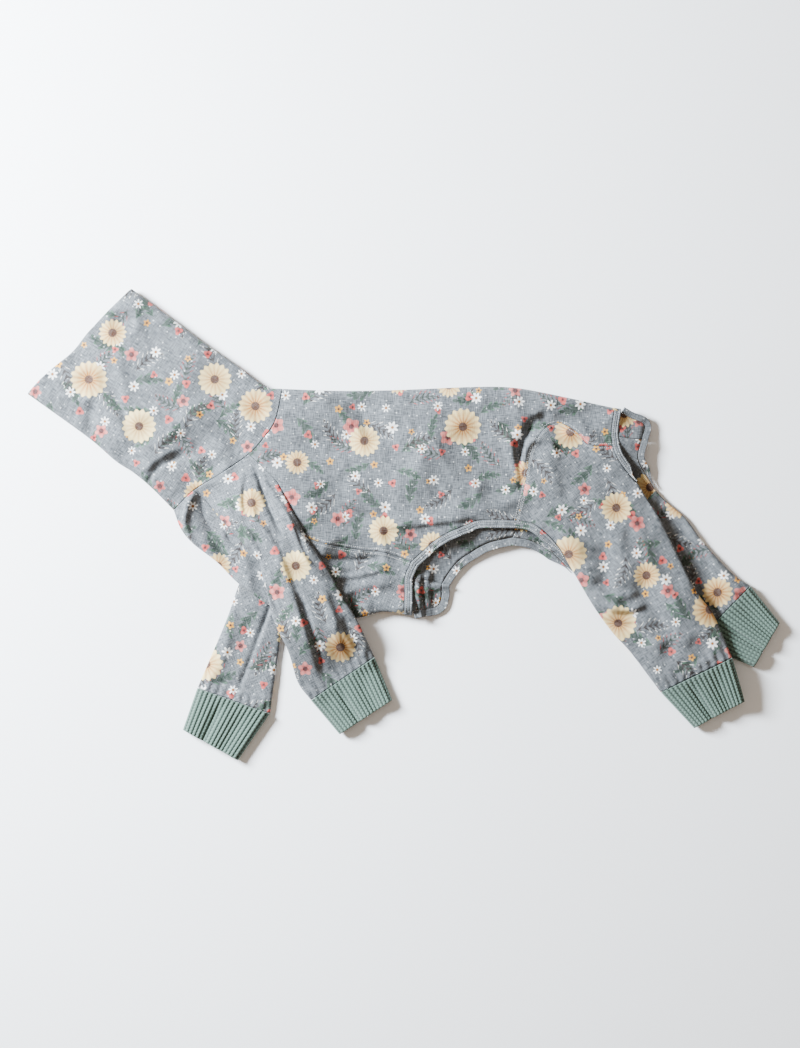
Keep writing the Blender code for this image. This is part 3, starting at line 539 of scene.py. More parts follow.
# %% Table of folds
FOLDS = (
    # piece, line in the flat view, width on the left and right (mm), height (mm)
    ("body", ((147, 498), (152, 478), (164, 465), (196, 452)), 5, 2.6, -2.6),
    ("body", ((143, 492), (148, 471), (161, 457), (188, 446)), 7, 4.0, 2.8),
    ("body", ((130, 482), (141, 477), (154, 468)), 3, 3, -2.0),
    ("body", ((132, 484), (148, 452), (172, 434), (205, 402), (232, 380)), 10, 10, 2.4),
    ("body", ((86, 452), (90, 434), (94, 410), (102, 384)), 6, 7, -2.8),
    ("body", ((112, 384), (124, 412), (133, 444)), 7, 6, -2.2),
    ("body", ((70, 372), (95, 395), (120, 425), (130, 455)), 12, 9, 3.0),
    ("body", ((238, 458), (222, 442), (200, 424), (172, 410)), 6, 9, 3.6),
    ("body", ((228, 470), (205, 455), (190, 440)), 5, 8, -3.0),
    ("body", ((262, 440), (246, 415), (226, 394)), 9, 7, 2.4),
    ("body", ((205, 345), (190, 375), (172, 400)), 14, 14, 2.4),
    ("body", ((372, 530), (393, 526), (420, 524), (450, 520), (470, 517), (492, 515)), 12, 3, 4.0),
    ("body", ((379, 524), (382, 540), (386, 560)), 5, 7, 2.2),
    ("body", ((505, 430), (512, 455), (522, 488)), 8, 6, 5.4),
    ("body", ((540, 410), (526, 436), (518, 464), (526, 500)), 5.5, 6, -5.2),
    ("body", ((522, 474), (525, 450), (535, 439), (550, 445), (560, 464)), 2.6, 4, 4.0),
    ("body", ((536, 412), (551, 425), (568, 436)), 6, 7, -6.5),
    ("body", ((538, 446), (552, 470), (560, 500)), 8, 9, 4.5),
    ("body", ((570, 420), (590, 440), (604, 468)), 8, 10, 3.0),
    ("body", ((332, 390), (358, 412), (384, 434), (404, 458)), 7, 14, -4.4),
    ("body", ((420, 398), (430, 440), (415, 492)), 18, 16, 2.7),
    ("body", ((470, 398), (478, 430), (470, 480)), 14, 16, -2.4),
    ("body", ((236, 440), (262, 464), (290, 480), (316, 491), (352, 505), (388, 518)), 12, 5, 5.2),
    ("body", ((198, 488), (188, 506), (186, 526), (196, 552)), 5, 3, 5.5),
    ("body", ((208, 480), (209, 515), (219, 545), (244, 590)), 10, 9, -4.5),
    ("body", ((184, 470), (198, 490), (228, 522), (256, 551), (284, 590)), 5, 22, -8.5),
    ("body", ((222, 520), (232, 540), (250, 556)), 3, 3, -2.4),
    ("body", ((330, 600), (360, 586), (398, 584)), 8, 6, 3.0),
    ("body", ((312, 556), (336, 560), (362, 560), (388, 556)), 5, 6, -5.5),
    ("body", ((312, 572), (340, 577), (366, 573), (392, 566)), 4, 4, 3.4),
    ("sleeve", ((247, 462), (251, 490), (256, 518), (268, 534), (280, 556), (292, 590), (301, 618),
                (312, 648), (320, 690)), 4.2, 13, 4.2),
    ("sleeve", ((246, 430), (257, 470), (269, 504), (287, 543)), 3, 3.5, -5.0),
    ("sleeve", ((216, 486), (236, 512), (256, 545), (270, 590)), 3, 7, 2.2),
    ("sleeve", ((250, 440), (244, 472), (241, 500), (247, 526)), 2.6, 5, 4.4),
    ("sleeve", ((296, 585), (307, 612), (316, 645), (326, 680)), 4, 4, -4.2),
    ("sleeve", ((284, 508), (293, 526), (302, 550), (313, 566), (332, 576)), 2.5, 6, 3.8),
    ("sleeve", ((322, 580), (331, 610), (340, 640), (352, 668)), 4, 7, 3.0),
    ("sleeve", ((343, 612), (350, 632), (362, 655)), 4, 4, -2.4),
    ("sleeve", ((222, 500), (240, 528), (256, 548)), 6, 8, 2.4),
    ("sleeve", ((275, 625), (290, 660), (300, 690)), 7, 7, 2.2),
    ("sleeve", ((258, 470), (278, 500), (300, 532), (316, 556)), 3, 5, 2.4),
    ("sleeve", ((330, 600), (341, 628), (357, 652)), 3, 4, 2.0),
    ("sleeve", ((262, 560), (272, 590), (284, 624)), 3, 4, -1.8),
    ("leg", ((585, 470), (600, 510), (622, 552), (640, 600)), 14, 16, 3.9),
    ("leg", ((540, 500), (560, 530), (585, 560)), 10, 10, 3.9),
    ("leg", ((576, 602), (596, 612), (614, 622), (642, 630)), 4, 7, -5.1),
    ("leg", ((576, 594), (600, 605), (624, 610), (652, 602)), 8, 2.6, 5.0),
    ("leg", ((628, 505), (642, 545), (664, 588), (696, 626)), 9, 9, 3.9),
    ("leg", ((640, 650), (665, 640), (700, 640)), 8, 8, 2.7),
    ("leg", ((634, 575), (656, 615), (680, 665)), 10, 11, -4.6),
    ("leg", ((600, 540), (606, 566), (600, 596)), 10, 12, -4.5),
    ("leg", ((590, 588), (612, 596), (640, 592)), 4, 7, 3.6),
    ("leg", ((668, 690), (690, 668), (716, 655)), 3, 4, 2.1),
    ("inside", ((420, 570), (418, 590), (421, 616)), 3, 3, 5.0),
    ("inside", ((430, 566), (427, 585), (429, 612)), 3, 3, 4.4),
    ("inside", ((428, 584), (438, 586), (447, 583)), 3, 4, 4.6),
    ("inside", ((452, 600), (461, 570), (480, 552), (512, 540)), 9, 9, 3.5),
    ("inside", ((404, 720), (407, 640), (412, 575), (436, 545), (470, 530), (530, 530),
                (580, 560)), 26, 20, 12.0),
    ("inside", ((580, 310), (600, 372), (614, 412), (622, 450), (650, 520)), 26, 28, 14.0),
    ("inside", ((636, 408), (640, 425), (636, 450)), 5, 8, 3.0),
    ("far_sleeve", ((280, 585), (271, 607), (255, 650), (236, 698)), 1.6, 4.5, -3.2),
    ("far_sleeve", ((232, 625), (224, 655), (210, 688)), 6, 6, 1.4),
    ("far_leg", ((655, 490), (685, 522), (715, 560), (735, 585)), 8, 6, 2.4),
    ("far_leg", ((642, 462), (666, 506), (698, 552), (722, 600)), 11, 13, -4.6),
)
print(len(FOLDS), "folds")

# %% [markdown]
# Between the folds a worn cloth is never flat. Three sizes of soft crease come from smooth noise, which is
# laid on a fixed lattice, so that every run gives the same cloth.

# %% Creases and folds
STEP = 0.00115
VIEW_MIDDLE = (404.0, 524.5)
LATTICE_SIZE = 64
CREASES = (
    # pitch (mm), height (mm), how sharp
    (76, 4.4, 0.0),
    (31, 3.1, 1.0),
    (15, 0.6, 1.0),
)
LATTICE = np.random.default_rng(11).random((LATTICE_SIZE, LATTICE_SIZE)) * 2 - 1
CREASE_TURN = 0.9
CREASE_START, CREASE_SHIFT = 20, 3.7
RIDGE_TOP, RIDGE_SLOPE, RIDGE_ROUND = 0.6, 1.6, 0.01
CRUMPLE_SHARE = {"body": 1.0}
LIMB_CRUMPLE = 0.6


def seen(x, y):
    """A point of the flat view as a plan point in metres."""
    return ((x - VIEW_MIDDLE[0]) * STEP, (VIEW_MIDDLE[1] - y) * STEP)


def crumple(plan, start):
    """Soft creases: smooth noise, its middle drawn up into ridges where it is sharp."""
    total = np.zeros(plan.shape[:-1])
    for turn, (pitch, height, sharp) in enumerate(CREASES, start):
        c, s = math.cos(turn * CREASE_TURN), math.sin(turn * CREASE_TURN)
        cell = np.stack((plan[..., 0] * c - plan[..., 1] * s, plan[..., 0] * s + plan[..., 1] * c), -1)
        cell = cell / (pitch * 0.001) + CREASE_START + turn * CREASE_SHIFT
        base = np.floor(cell).astype(int)
        f = smooth(cell - base)
        at = [[(base[..., axis] + step) % LATTICE_SIZE for step in (0, 1)] for axis in (0, 1)]
        corner = [[LATTICE[row, column] for column in at[1]] for row in at[0]]
        one = corner[0][0] * (1 - f[..., 0]) + corner[1][0] * f[..., 0]
        two = corner[0][1] * (1 - f[..., 0]) + corner[1][1] * f[..., 0]
        noise = one * (1 - f[..., 1]) + two * f[..., 1]
        ridge = RIDGE_TOP - np.sqrt(noise ** 2 + RIDGE_ROUND) * RIDGE_SLOPE
        total += height * 0.001 * (sharp * ridge + (1 - sharp) * noise)
    return total


def folds(plan, piece):
    """Height of a piece's folds at plan points."""
    total = np.zeros(plan.shape[:-1])
    for owner, line, left, right, height in FOLDS:
        if owner == piece:
            away, share = nearest(plan, through([seen(*point) for point in line]))
            width = np.where(away > 0, left, right) * 0.001
            total += height * 0.001 * np.exp(-(away / width) ** 2) * smooth(4 * share) * smooth(4 - 4 * share)
    return total + crumple(plan, len(piece)) * CRUMPLE_SHARE.get(piece, LIMB_CRUMPLE)


print("lattice from", LATTICE.min().round(3), "to", LATTICE.max().round(3))


# %% [markdown]
# A panel is one or two grids of points joined at their shared folds. The mesh keeps a flat map of the cloth
# in metres, so that the print and knit follow the sheet, and Solidify then gives the jersey its thickness.

# %% Cloth from grids
BOLT_SLANT = 0.7
UNDER_SHIFT = 0.3


def with_height(plan, height):
    """Plan points with a height each."""
    return np.concatenate((plan, np.broadcast_to(height, plan.shape[:-1])[..., None]), axis=-1)


def eased(line, inner, gap=SEAM_GAP):
    """A seam's points drawn back square to the seam, so that two sewn pieces keep a small gap."""
    seam = np.gradient(line, axis=0)
    seam /= np.linalg.norm(seam, axis=-1, keepdims=True)
    run = inner - line
    run -= (run * seam).sum(-1, keepdims=True) * seam
    return line + run * (0.5 * gap / np.linalg.norm(run, axis=-1, keepdims=True))


def flat_map(plan, turn, far, offset):
    """Where each point lies on the flat cloth, in metres: turned to its grain and shifted on the bolt."""
    c, s = math.cos(math.radians(turn)), math.sin(math.radians(turn))
    side = -1 if far else 1
    x, y = plan[..., 0], plan[..., 1] * side
    return np.stack((x * c - y * s + offset, x * s + y * c + offset * BOLT_SLANT), axis=-1)


def cloth(name, layers, thickness, material, marks=()):
    """A sheet from (grid, facing up, flat map) layers, with shared points joined and marks on the points."""
    points, faces, maps = [], [], []
    for grid, facing_up, flat in layers:
        start = sum(len(part) for part in points)
        rows, columns = grid.shape[:2]
        ids = start + np.arange(rows * columns).reshape(rows, columns)
        quads = np.stack((ids[:-1, :-1], ids[:-1, 1:], ids[1:, 1:], ids[1:, :-1]), axis=-1).reshape(-1, 4)
        across, down = grid[0, -1] - grid[0, 0], grid[-1, 0] - grid[0, 0]
        if (across[0] * down[1] - across[1] * down[0] > 0) != facing_up:
            quads = quads[:, ::-1]
        points.append(grid.reshape(-1, 3))
        maps.append(flat.reshape(-1, 2))
        faces.append(quads)
    points, maps, faces = np.concatenate(points), np.concatenate(maps), np.concatenate(faces)
    first, index = np.unique(np.round(points, 7), axis=0, return_index=True, return_inverse=True)[1:]
    index = index.reshape(-1)
    mesh = bpy.data.meshes.new(name)
    mesh.from_pydata(points[first].tolist(), [], index[faces].tolist())
    layer = mesh.uv_layers.new(name="cloth")
    layer.data.foreach_set("uv", maps[faces.reshape(-1)].astype(np.float32).reshape(-1))
    if marks:
        marked = mesh.attributes.new("knit", "FLOAT_VECTOR", "POINT")
        values = np.concatenate([part.reshape(-1, 3) for part in marks])[first]
        marked.data.foreach_set("vector", values.astype(np.float32).reshape(-1))
    mesh.materials.append(material)
    mesh.shade_smooth()
    made = bpy.data.objects.new(name, mesh)
    bpy.context.collection.objects.link(made)
    if thickness:
        thick = made.modifiers.new("thickness", "SOLIDIFY")
        thick.thickness = thickness
        thick.offset = 0
        thick.use_rim = True
    print(f"{name}: {len(mesh.polygons)} faces")
    return made


# %% [markdown]
# The print is a plain one of scattered blossoms and sprigs: each kind sits once in every cell of its own
# loose lattice, turned by chance. A flower is a circle whose radius swings once for each petal.

# %% Blossoms
FULL_TURN = 2 * math.pi
LOOSENESS = 0.55
SOFT_EDGE = 0.5
PRINT = (
    # spacing (mm), radius (mm), petals, notch, middle, petal, outer, size of the middle, seed
    (13, 0.7, 1, 0.00, "#B4B5B4", "#B4B5B4", "#B4B5B4", 0.5, 3.1),
    (47, 4.6, 3, 0.20, "#3A0806", "#8A1A16", "#B04A42", 0.3, 8.6),
    (53, 3.8, 5, 0.22, "#2E1406", "#A0620C", "#C08A24", 0.35, 17.3),
    (45, 5.2, 7, 0.30, "#7A480A", "#B4B3AE", "#DCDBD8", 0.32, 21.7),
    (86, 8.4, 5, 0.16, "#3A0806", "#7E1E1A", "#B4645C", 0.34, 37.4),
    (96, 19.0, 16, 0.07, "#3C1E06", "#8E560C", "#CDB67E", 0.26, 55.9),
)


def cell_place(tree, mm, spacing, seed):
    """The place from the middle of a lattice cell, in mm, and the cell's own chance colour."""
    moved = add(tree, VECTOR, "ADD", (mm, (seed * 13, seed * 29, 0)))
    cells = add(tree, "ShaderNodeTexVoronoi", {"voronoi_dimensions": "2D"},
                {"Vector": moved, "Scale": 1 / spacing, "Randomness": LOOSENESS})
    place = add(tree, VECTOR, "SUBTRACT", (moved, cells.outputs["Position"]))
    chance = add(tree, "ShaderNodeSeparateColor", inputs=(cells.outputs["Color"],))
    return place, chance.outputs


def stepped(tree, value, edge, soft):
    """1 below an edge and 0 above it, with a soft border."""
    beyond = add(tree, MATH, "SUBTRACT", (value, edge))
    return add(tree, "ShaderNodeMapRange", {"interpolation_type": "SMOOTHSTEP"},
               {"Value": beyond, "From Min": soft, "From Max": -soft})


def blossom(tree, mm, ground, row):
    """One kind of flower, once in every cell of its lattice."""
    spacing, radius, petals, notch, middle, petal, outer, heart, seed = row
    place, chance = cell_place(tree, mm, spacing, seed)
    parts = add(tree, "ShaderNodeSeparateXYZ", inputs=(place,)).outputs
    length = add(tree, VECTOR, "LENGTH", (place,))
    angle = add(tree, MATH, "ARCTAN2", (parts[1], parts[0]))
    turn = add(tree, MATH, "MULTIPLY", (chance[0], FULL_TURN))
    lobes = add(tree, MATH, "COSINE", (add(tree, MATH, "MULTIPLY_ADD", (angle, petals, turn)),))
    # A flower's size varies by chance from 0.65 to 1.05 of its radius
    size = add(tree, MATH, "MULTIPLY_ADD", (chance[1], radius * 0.4, radius * 0.65))
    edge = add(tree, MATH, "MULTIPLY_ADD", (lobes, notch * radius, size))
    # Each petal is paler towards its tip and at its middle
    shade = add(tree, MATH, "DIVIDE", (length, radius))
    shade = add(tree, MATH, "MULTIPLY_ADD", (lobes, 0.2, shade))
    shade = add(tree, MATH, "MULTIPLY_ADD", (chance[2], 0.5, shade))
    shade = add(tree, MATH, "SUBTRACT", (shade, 0.25))
    tone = add(tree, MIX, COLOUR, {0: shade, 6: linear(petal), 7: linear(outer)})
    in_heart = stepped(tree, length, heart * radius, SOFT_EDGE)
    tone = add(tree, MIX, COLOUR, {0: in_heart, 6: tone, 7: linear(middle)})
    return add(tree, MIX, COLOUR, {0: stepped(tree, length, edge, SOFT_EDGE), 6: ground, 7: tone})


print("kinds of blossom:", len(PRINT))

# %% [markdown]
# A sprig is a bowed stem, and its leaves are a sine along the stem, raised to a power: a low power gives
# broad leaves, and a high one thin twigs. Both fade towards the stem's ends.

# %% Sprigs
SPRIGS = (
    # spacing (mm), half length (mm), leaf pitch (mm), leaf (mm), sharpness, leaf, tip, seed
    (58, 17, 9.0, 6.8, 0.8, "#13261A", "#2E4A36", 12.3),
    (66, 19, 6.4, 8.5, 7.0, "#1C110C", "#C4C0B8", 44.8),
    (70, 15, 7.4, 5.2, 0.9, "#182E20", "#3E5A46", 71.2),
    (83, 18, 6.0, 8.0, 6.0, "#142016", "#8A1A16", 93.6),
)
STEM_BOW = 0.012
STEM_HALF = 0.3
TIP_START = 0.66
SPRIG_INK = 0.9


def sprig(tree, mm, ground, row):
    """A bowed stem with leaves or twigs on both sides, once in every cell of its lattice."""
    spacing, reach, pitch, width, sharp, colour, tip, seed = row
    place, chance = cell_place(tree, mm, spacing, seed)
    turn = add(tree, MATH, "MULTIPLY", (chance[2], FULL_TURN))
    turned = add(tree, "ShaderNodeVectorRotate", {"rotation_type": "Z_AXIS"},
                 {"Vector": place, "Angle": turn})
    parts = add(tree, "ShaderNodeSeparateXYZ", inputs=(turned,)).outputs
    square = add(tree, MATH, "MULTIPLY", (parts[0], parts[0]))
    bowed = add(tree, MATH, "MULTIPLY_ADD", (square, STEM_BOW, parts[1]))
    across = add(tree, MATH, "ABSOLUTE", (bowed,))
    lean = add(tree, MATH, "SUBTRACT", (parts[0], across))
    leaf = add(tree, MATH, "SINE", (add(tree, MATH, "MULTIPLY", (lean, math.pi / pitch)),))
    leaf = add(tree, MATH, "POWER", (add(tree, MATH, "ABSOLUTE", (leaf,)), sharp))
    share = add(tree, MATH, "DIVIDE", (parts[0], reach))
    taper = add(tree, MATH, "SUBTRACT", (1.0, add(tree, MATH, "MULTIPLY", (share, share))))
    full = add(tree, MATH, "MULTIPLY", (taper, width))
    edge = add(tree, MATH, "MULTIPLY_ADD", (leaf, full, STEM_HALF))
    inside = stepped(tree, across, edge, STEM_HALF)
    inside = add(tree, MATH, "MULTIPLY", (inside, add(tree, MATH, "GREATER_THAN", (taper, 0.0))))
    near_tip = add(tree, MATH, "GREATER_THAN", (across, add(tree, MATH, "MULTIPLY", (full, TIP_START))))
    tone = add(tree, MIX, COLOUR, {0: near_tip, 6: linear(colour), 7: linear(tip)})
    return add(tree, MIX, COLOUR, {0: add(tree, MATH, "MULTIPLY", (inside, SPRIG_INK)), 6: ground, 7: tone})


print("kinds of sprig:", len(SPRIGS))

# %% [markdown]
# The jersey is a cotton single knit in a heathered grey, so it is rough, with a faint fuzz. Its melange is
# drawn with two stretched noises, one each way, and the knit and the crumpled hand are bumps.

# %% Jersey
HEATHER = ((0.10, 0.95, 1.0), (0.95, 0.10, 1.0))
HEATHER_FROM, HEATHER_TO = 0.36, 0.64
THROUGH_INK = 0.05


def new_material(name, roughness, sheen):
    """A material with a Principled shader, returned with its tree and that shader."""
    made = bpy.data.materials.new(name)
    made.use_nodes = True
    shader = made.node_tree.nodes["Principled BSDF"]
    shader.inputs["Roughness"].default_value = roughness
    shader.inputs["Sheen Weight"].default_value = sheen
    shader.inputs["Specular IOR Level"].default_value = 0.3
    return made, made.node_tree, shader


def jersey_material(name):
    """Printed jersey, on the flat map of the cloth."""
    made, tree, shader = new_material(name, 0.9, 0.04)
    flat = add(tree, "ShaderNodeUVMap", {"uv_map": "cloth"})
    mm = add(tree, VECTOR, "SCALE", {0: flat, "Scale": 1000.0})
    heather = []
    for stretch in HEATHER:
        scaled = add(tree, VECTOR, "MULTIPLY", (mm, stretch))
        heather.append(add(tree, "ShaderNodeTexNoise", {"noise_dimensions": "2D"},
                           {"Vector": scaled, "Scale": 1.1, "Detail": 2.0}))
    melange = add(tree, MATH, "MULTIPLY", (add(tree, MATH, "ADD", tuple(heather)), 0.5))
    ramp = add(tree, "ShaderNodeMapRange",
               inputs={"Value": melange, "From Min": HEATHER_FROM, "From Max": HEATHER_TO})
    tone = add(tree, MIX, COLOUR, {0: ramp, 6: linear("#393C3F"), 7: linear("#5E6266")})
    for row in SPRIGS:
        tone = sprig(tree, mm, tone, row)
    for row in PRINT:
        tone = blossom(tree, mm, tone, row)
    # The melange shows a little through the ink
    paler = add(tree, MATH, "MULTIPLY", (ramp, THROUGH_INK))
    tone = add(tree, MIX, COLOUR, {0: paler, 6: tone, 7: linear("#FFFFFF")})
    tree.links.new(tone.outputs[2], shader.inputs["Base Color"])
    # Knit wales are about 0.6 mm apart; they are drawn at 1.1 mm, or they wouldn't show
    wales = add(tree, "ShaderNodeTexWave", {"bands_direction": "X"},
                {"Vector": mm, "Scale": 0.145, "Distortion": 0.8, "Detail": 1.0})
    knit = add(tree, "ShaderNodeBump",
               inputs={"Strength": 0.12, "Distance": 0.0003, "Height": wales.outputs[1]})
    soft = add(tree, "ShaderNodeTexNoise", {"noise_dimensions": "2D"},
               {"Vector": mm, "Scale": 0.16, "Detail": 3.0, "Roughness": 0.55})
    hand = add(tree, "ShaderNodeBump",
               inputs={"Strength": 0.35, "Distance": 0.0012, "Height": soft, "Normal": knit})
    tree.links.new(hand.outputs[0], shader.inputs["Normal"])
    print(f"{name}: {len(tree.nodes)} nodes")
    return made


jersey = jersey_material("printed cotton jersey")

# %% [markdown]
# The two body cloths. Each wraps round a fold: the back cloth round the spine, the chest cloth round the
# brisket. The upper layer carries the folds that show, and the lower one is seen through the openings.

# %% Back and chest
UNDERARM = 0.052
RAGLAN_CELLS, PIT_CELLS = round(RAGLAN_LENGTH / CELL), round(UNDERARM / CELL)
SEAM_CELLS, ARCH_CELLS = round(SIDE_SEAM / CELL), round(BELLY_ARCH / CELL)
HIP_CELLS, NEAR_CELLS, FAR_CELLS = 84, 90, 46
HIP_ROWS = shares_across(HIP_CELLS, 2)
NEAR_ROWS, FAR_ROWS = shares_across(NEAR_CELLS, 1), shares_across(FAR_CELLS, 1)
FOLD_REACH = 0.19
LEAST_OPENING = 3 * JERSEY
INSIDE_SHARE = 0.8
UNDER_LIFT = 0.0004
RELIEF_RAMP = 1.2


def back_stations():
    """Shares along the spine that lie across from the stretches of the flank line."""
    stops = (0.0, *BACK_STOPS, 1.0)
    counts = (RAGLAN_CELLS, SEAM_CELLS, ARCH_CELLS, len(HIP_ROWS) - 1)
    parts = [start + (end - start) * even(cells)[:-1] for start, end, cells in zip(stops, stops[1:], counts)]
    return np.append(np.concatenate(parts), 1.0)


def body_layer(plan, rows, far):
    """One side of the body: level away from its fold, with the folds that show."""
    full = round_edge(rows, FOLD_REACH, both=False)[None, :]
    middle = far_level(plan) + BODY_DEPTH / 2
    side = -1 if far else 1
    height = middle + side * BODY_DEPTH / 2 * full + body_relief(plan, far) * smooth(full * RELIEF_RAMP)
    lowest = JERSEY / 2 if far else far_level(plan) + LEAST_OPENING
    return with_height(plan, np.maximum(height, lowest))


def body_relief(plan, far):
    """Folds of one side of the body."""
    return folds(plan, "inside") * INSIDE_SHARE + UNDER_LIFT if far else folds(plan, "body")


def body_panel(name, fold, line_of, ends, neck_name, turn, offset):
    """A cloth of two sides that share a fold."""
    layers = []
    for far in (False, True):
        rows = FAR_ROWS if far else NEAR_ROWS
        mark = "far_" if far else ""
        plan = coons(fold, line_of(mark), along(curves[neck_name], rows), along(curves[mark + ends], rows))
        grid = body_layer(plan, rows, far)
        grid[0] = eased(grid[0], grid[1])
        grid[-1] = eased(grid[-1], grid[-2])
        grid[:, -1] = eased(grid[:, -1], grid[:, -2])
        layers.append((grid, not far, flat_map(plan, turn, far, offset)))
    return cloth(name, layers, JERSEY, jersey)


def flank_line(mark):
    """The edge of the back cloth, from the neck round to the tail."""
    return chain((curves[mark + "raglan_back"], even(RAGLAN_CELLS)),
                 (curves[mark + "side_seam"], even(SEAM_CELLS)),
                 (curves[mark + "arch"], even(ARCH_CELLS)),
                 (curves[mark + "hip"], HIP_ROWS))


def chest_line(mark):
    """The edge of the chest cloth, from the neck to the belly opening."""
    return chain((curves[mark + "raglan_front"], even(RAGLAN_CELLS)),
                 (curves[mark + "pit"], even(PIT_CELLS)),
                 (curves[mark + "side_seam"], even(SEAM_CELLS)))


back_cloth = body_panel("back_cloth", along(curves["back"], back_stations()), flank_line, "tail_end",
                        "neck_on_back", turn=3, offset=0.2)
chest_cloth = body_panel("chest_cloth",
                         along(curves["chest_fold"], even(RAGLAN_CELLS + PIT_CELLS + SEAM_CELLS)), chest_line,
                         "chest_end", "neck_on_chest", turn=24, offset=0.9)


# %% [markdown]
# The neck is a tall folded tube. It is sewn to the back, the sleeves and the chest, so its base takes the
# points of all three, and its mouth is open.

# %% Neck
NECK_CELLS = {"back": 56, "sleeve": 40, "chest": 26}
NECK_REACH = 0.085
NECK_GRAIN, NECK_OFFSET = 35, 1.7


def neck():
    """The neck tube, a grid for each of its two layers."""
    base = chain((curves["neck_on_back"], shares_across(NECK_CELLS["back"], 1)),
                 (curves["neck_on_sleeve"][::-1], even(NECK_CELLS["sleeve"])),
                 (curves["neck_on_chest"][::-1], 1 - shares_across(NECK_CELLS["chest"], 1)[::-1]))
    share = travelled(base) / travelled(base)[-1]
    cells = round(NECK_TOP / CELL)
    plan = coons(along(curves["neck_back"], even(cells)), along(curves["neck_under"], even(cells)),
                 base, along(curves["mouth"], share))
    full = round_edge(share, NECK_REACH)[None, :]
    middle = far_level(plan) + BODY_DEPTH / 2
    layers = []
    for side in (1, -1):
        relief = folds(plan, "body") if side > 0 else UNDER_LIFT
        height = middle + side * BODY_DEPTH / 2 * full + relief * smooth(full * RELIEF_RAMP)
        grid = with_height(plan, np.maximum(height, JERSEY / 2))
        grid[0] = eased(grid[0], grid[1])
        layers.append((grid, side > 0, flat_map(plan, NECK_GRAIN, side < 0, NECK_OFFSET)))
    return cloth("neck_cloth", layers, JERSEY, jersey)


neck_cloth = neck()


# %% [markdown]
# A limb is a folded tube. It is sewn to the body along its head, opens into it, and closes into a tube
# below the underarm or crotch. Its two layers share their side folds from there down.

# %% Sleeves and legs
THIGH_CELLS = round(THIGH_EDGE / CELL)
TUBE_REACH = 0.15
PUCKERS = 9
PUCKER_HEIGHT = 0.0010
PUCKER_REACH = 0.022
PUCKER_START = 0.003
SLEEVE_ROWS = 56
MIDDLE_REACH = 0.10
END_ROWS = 8
HEAD_ROWS = 10
SEWN_ROWS = 20
SLEEVE_HOLD = 0.35


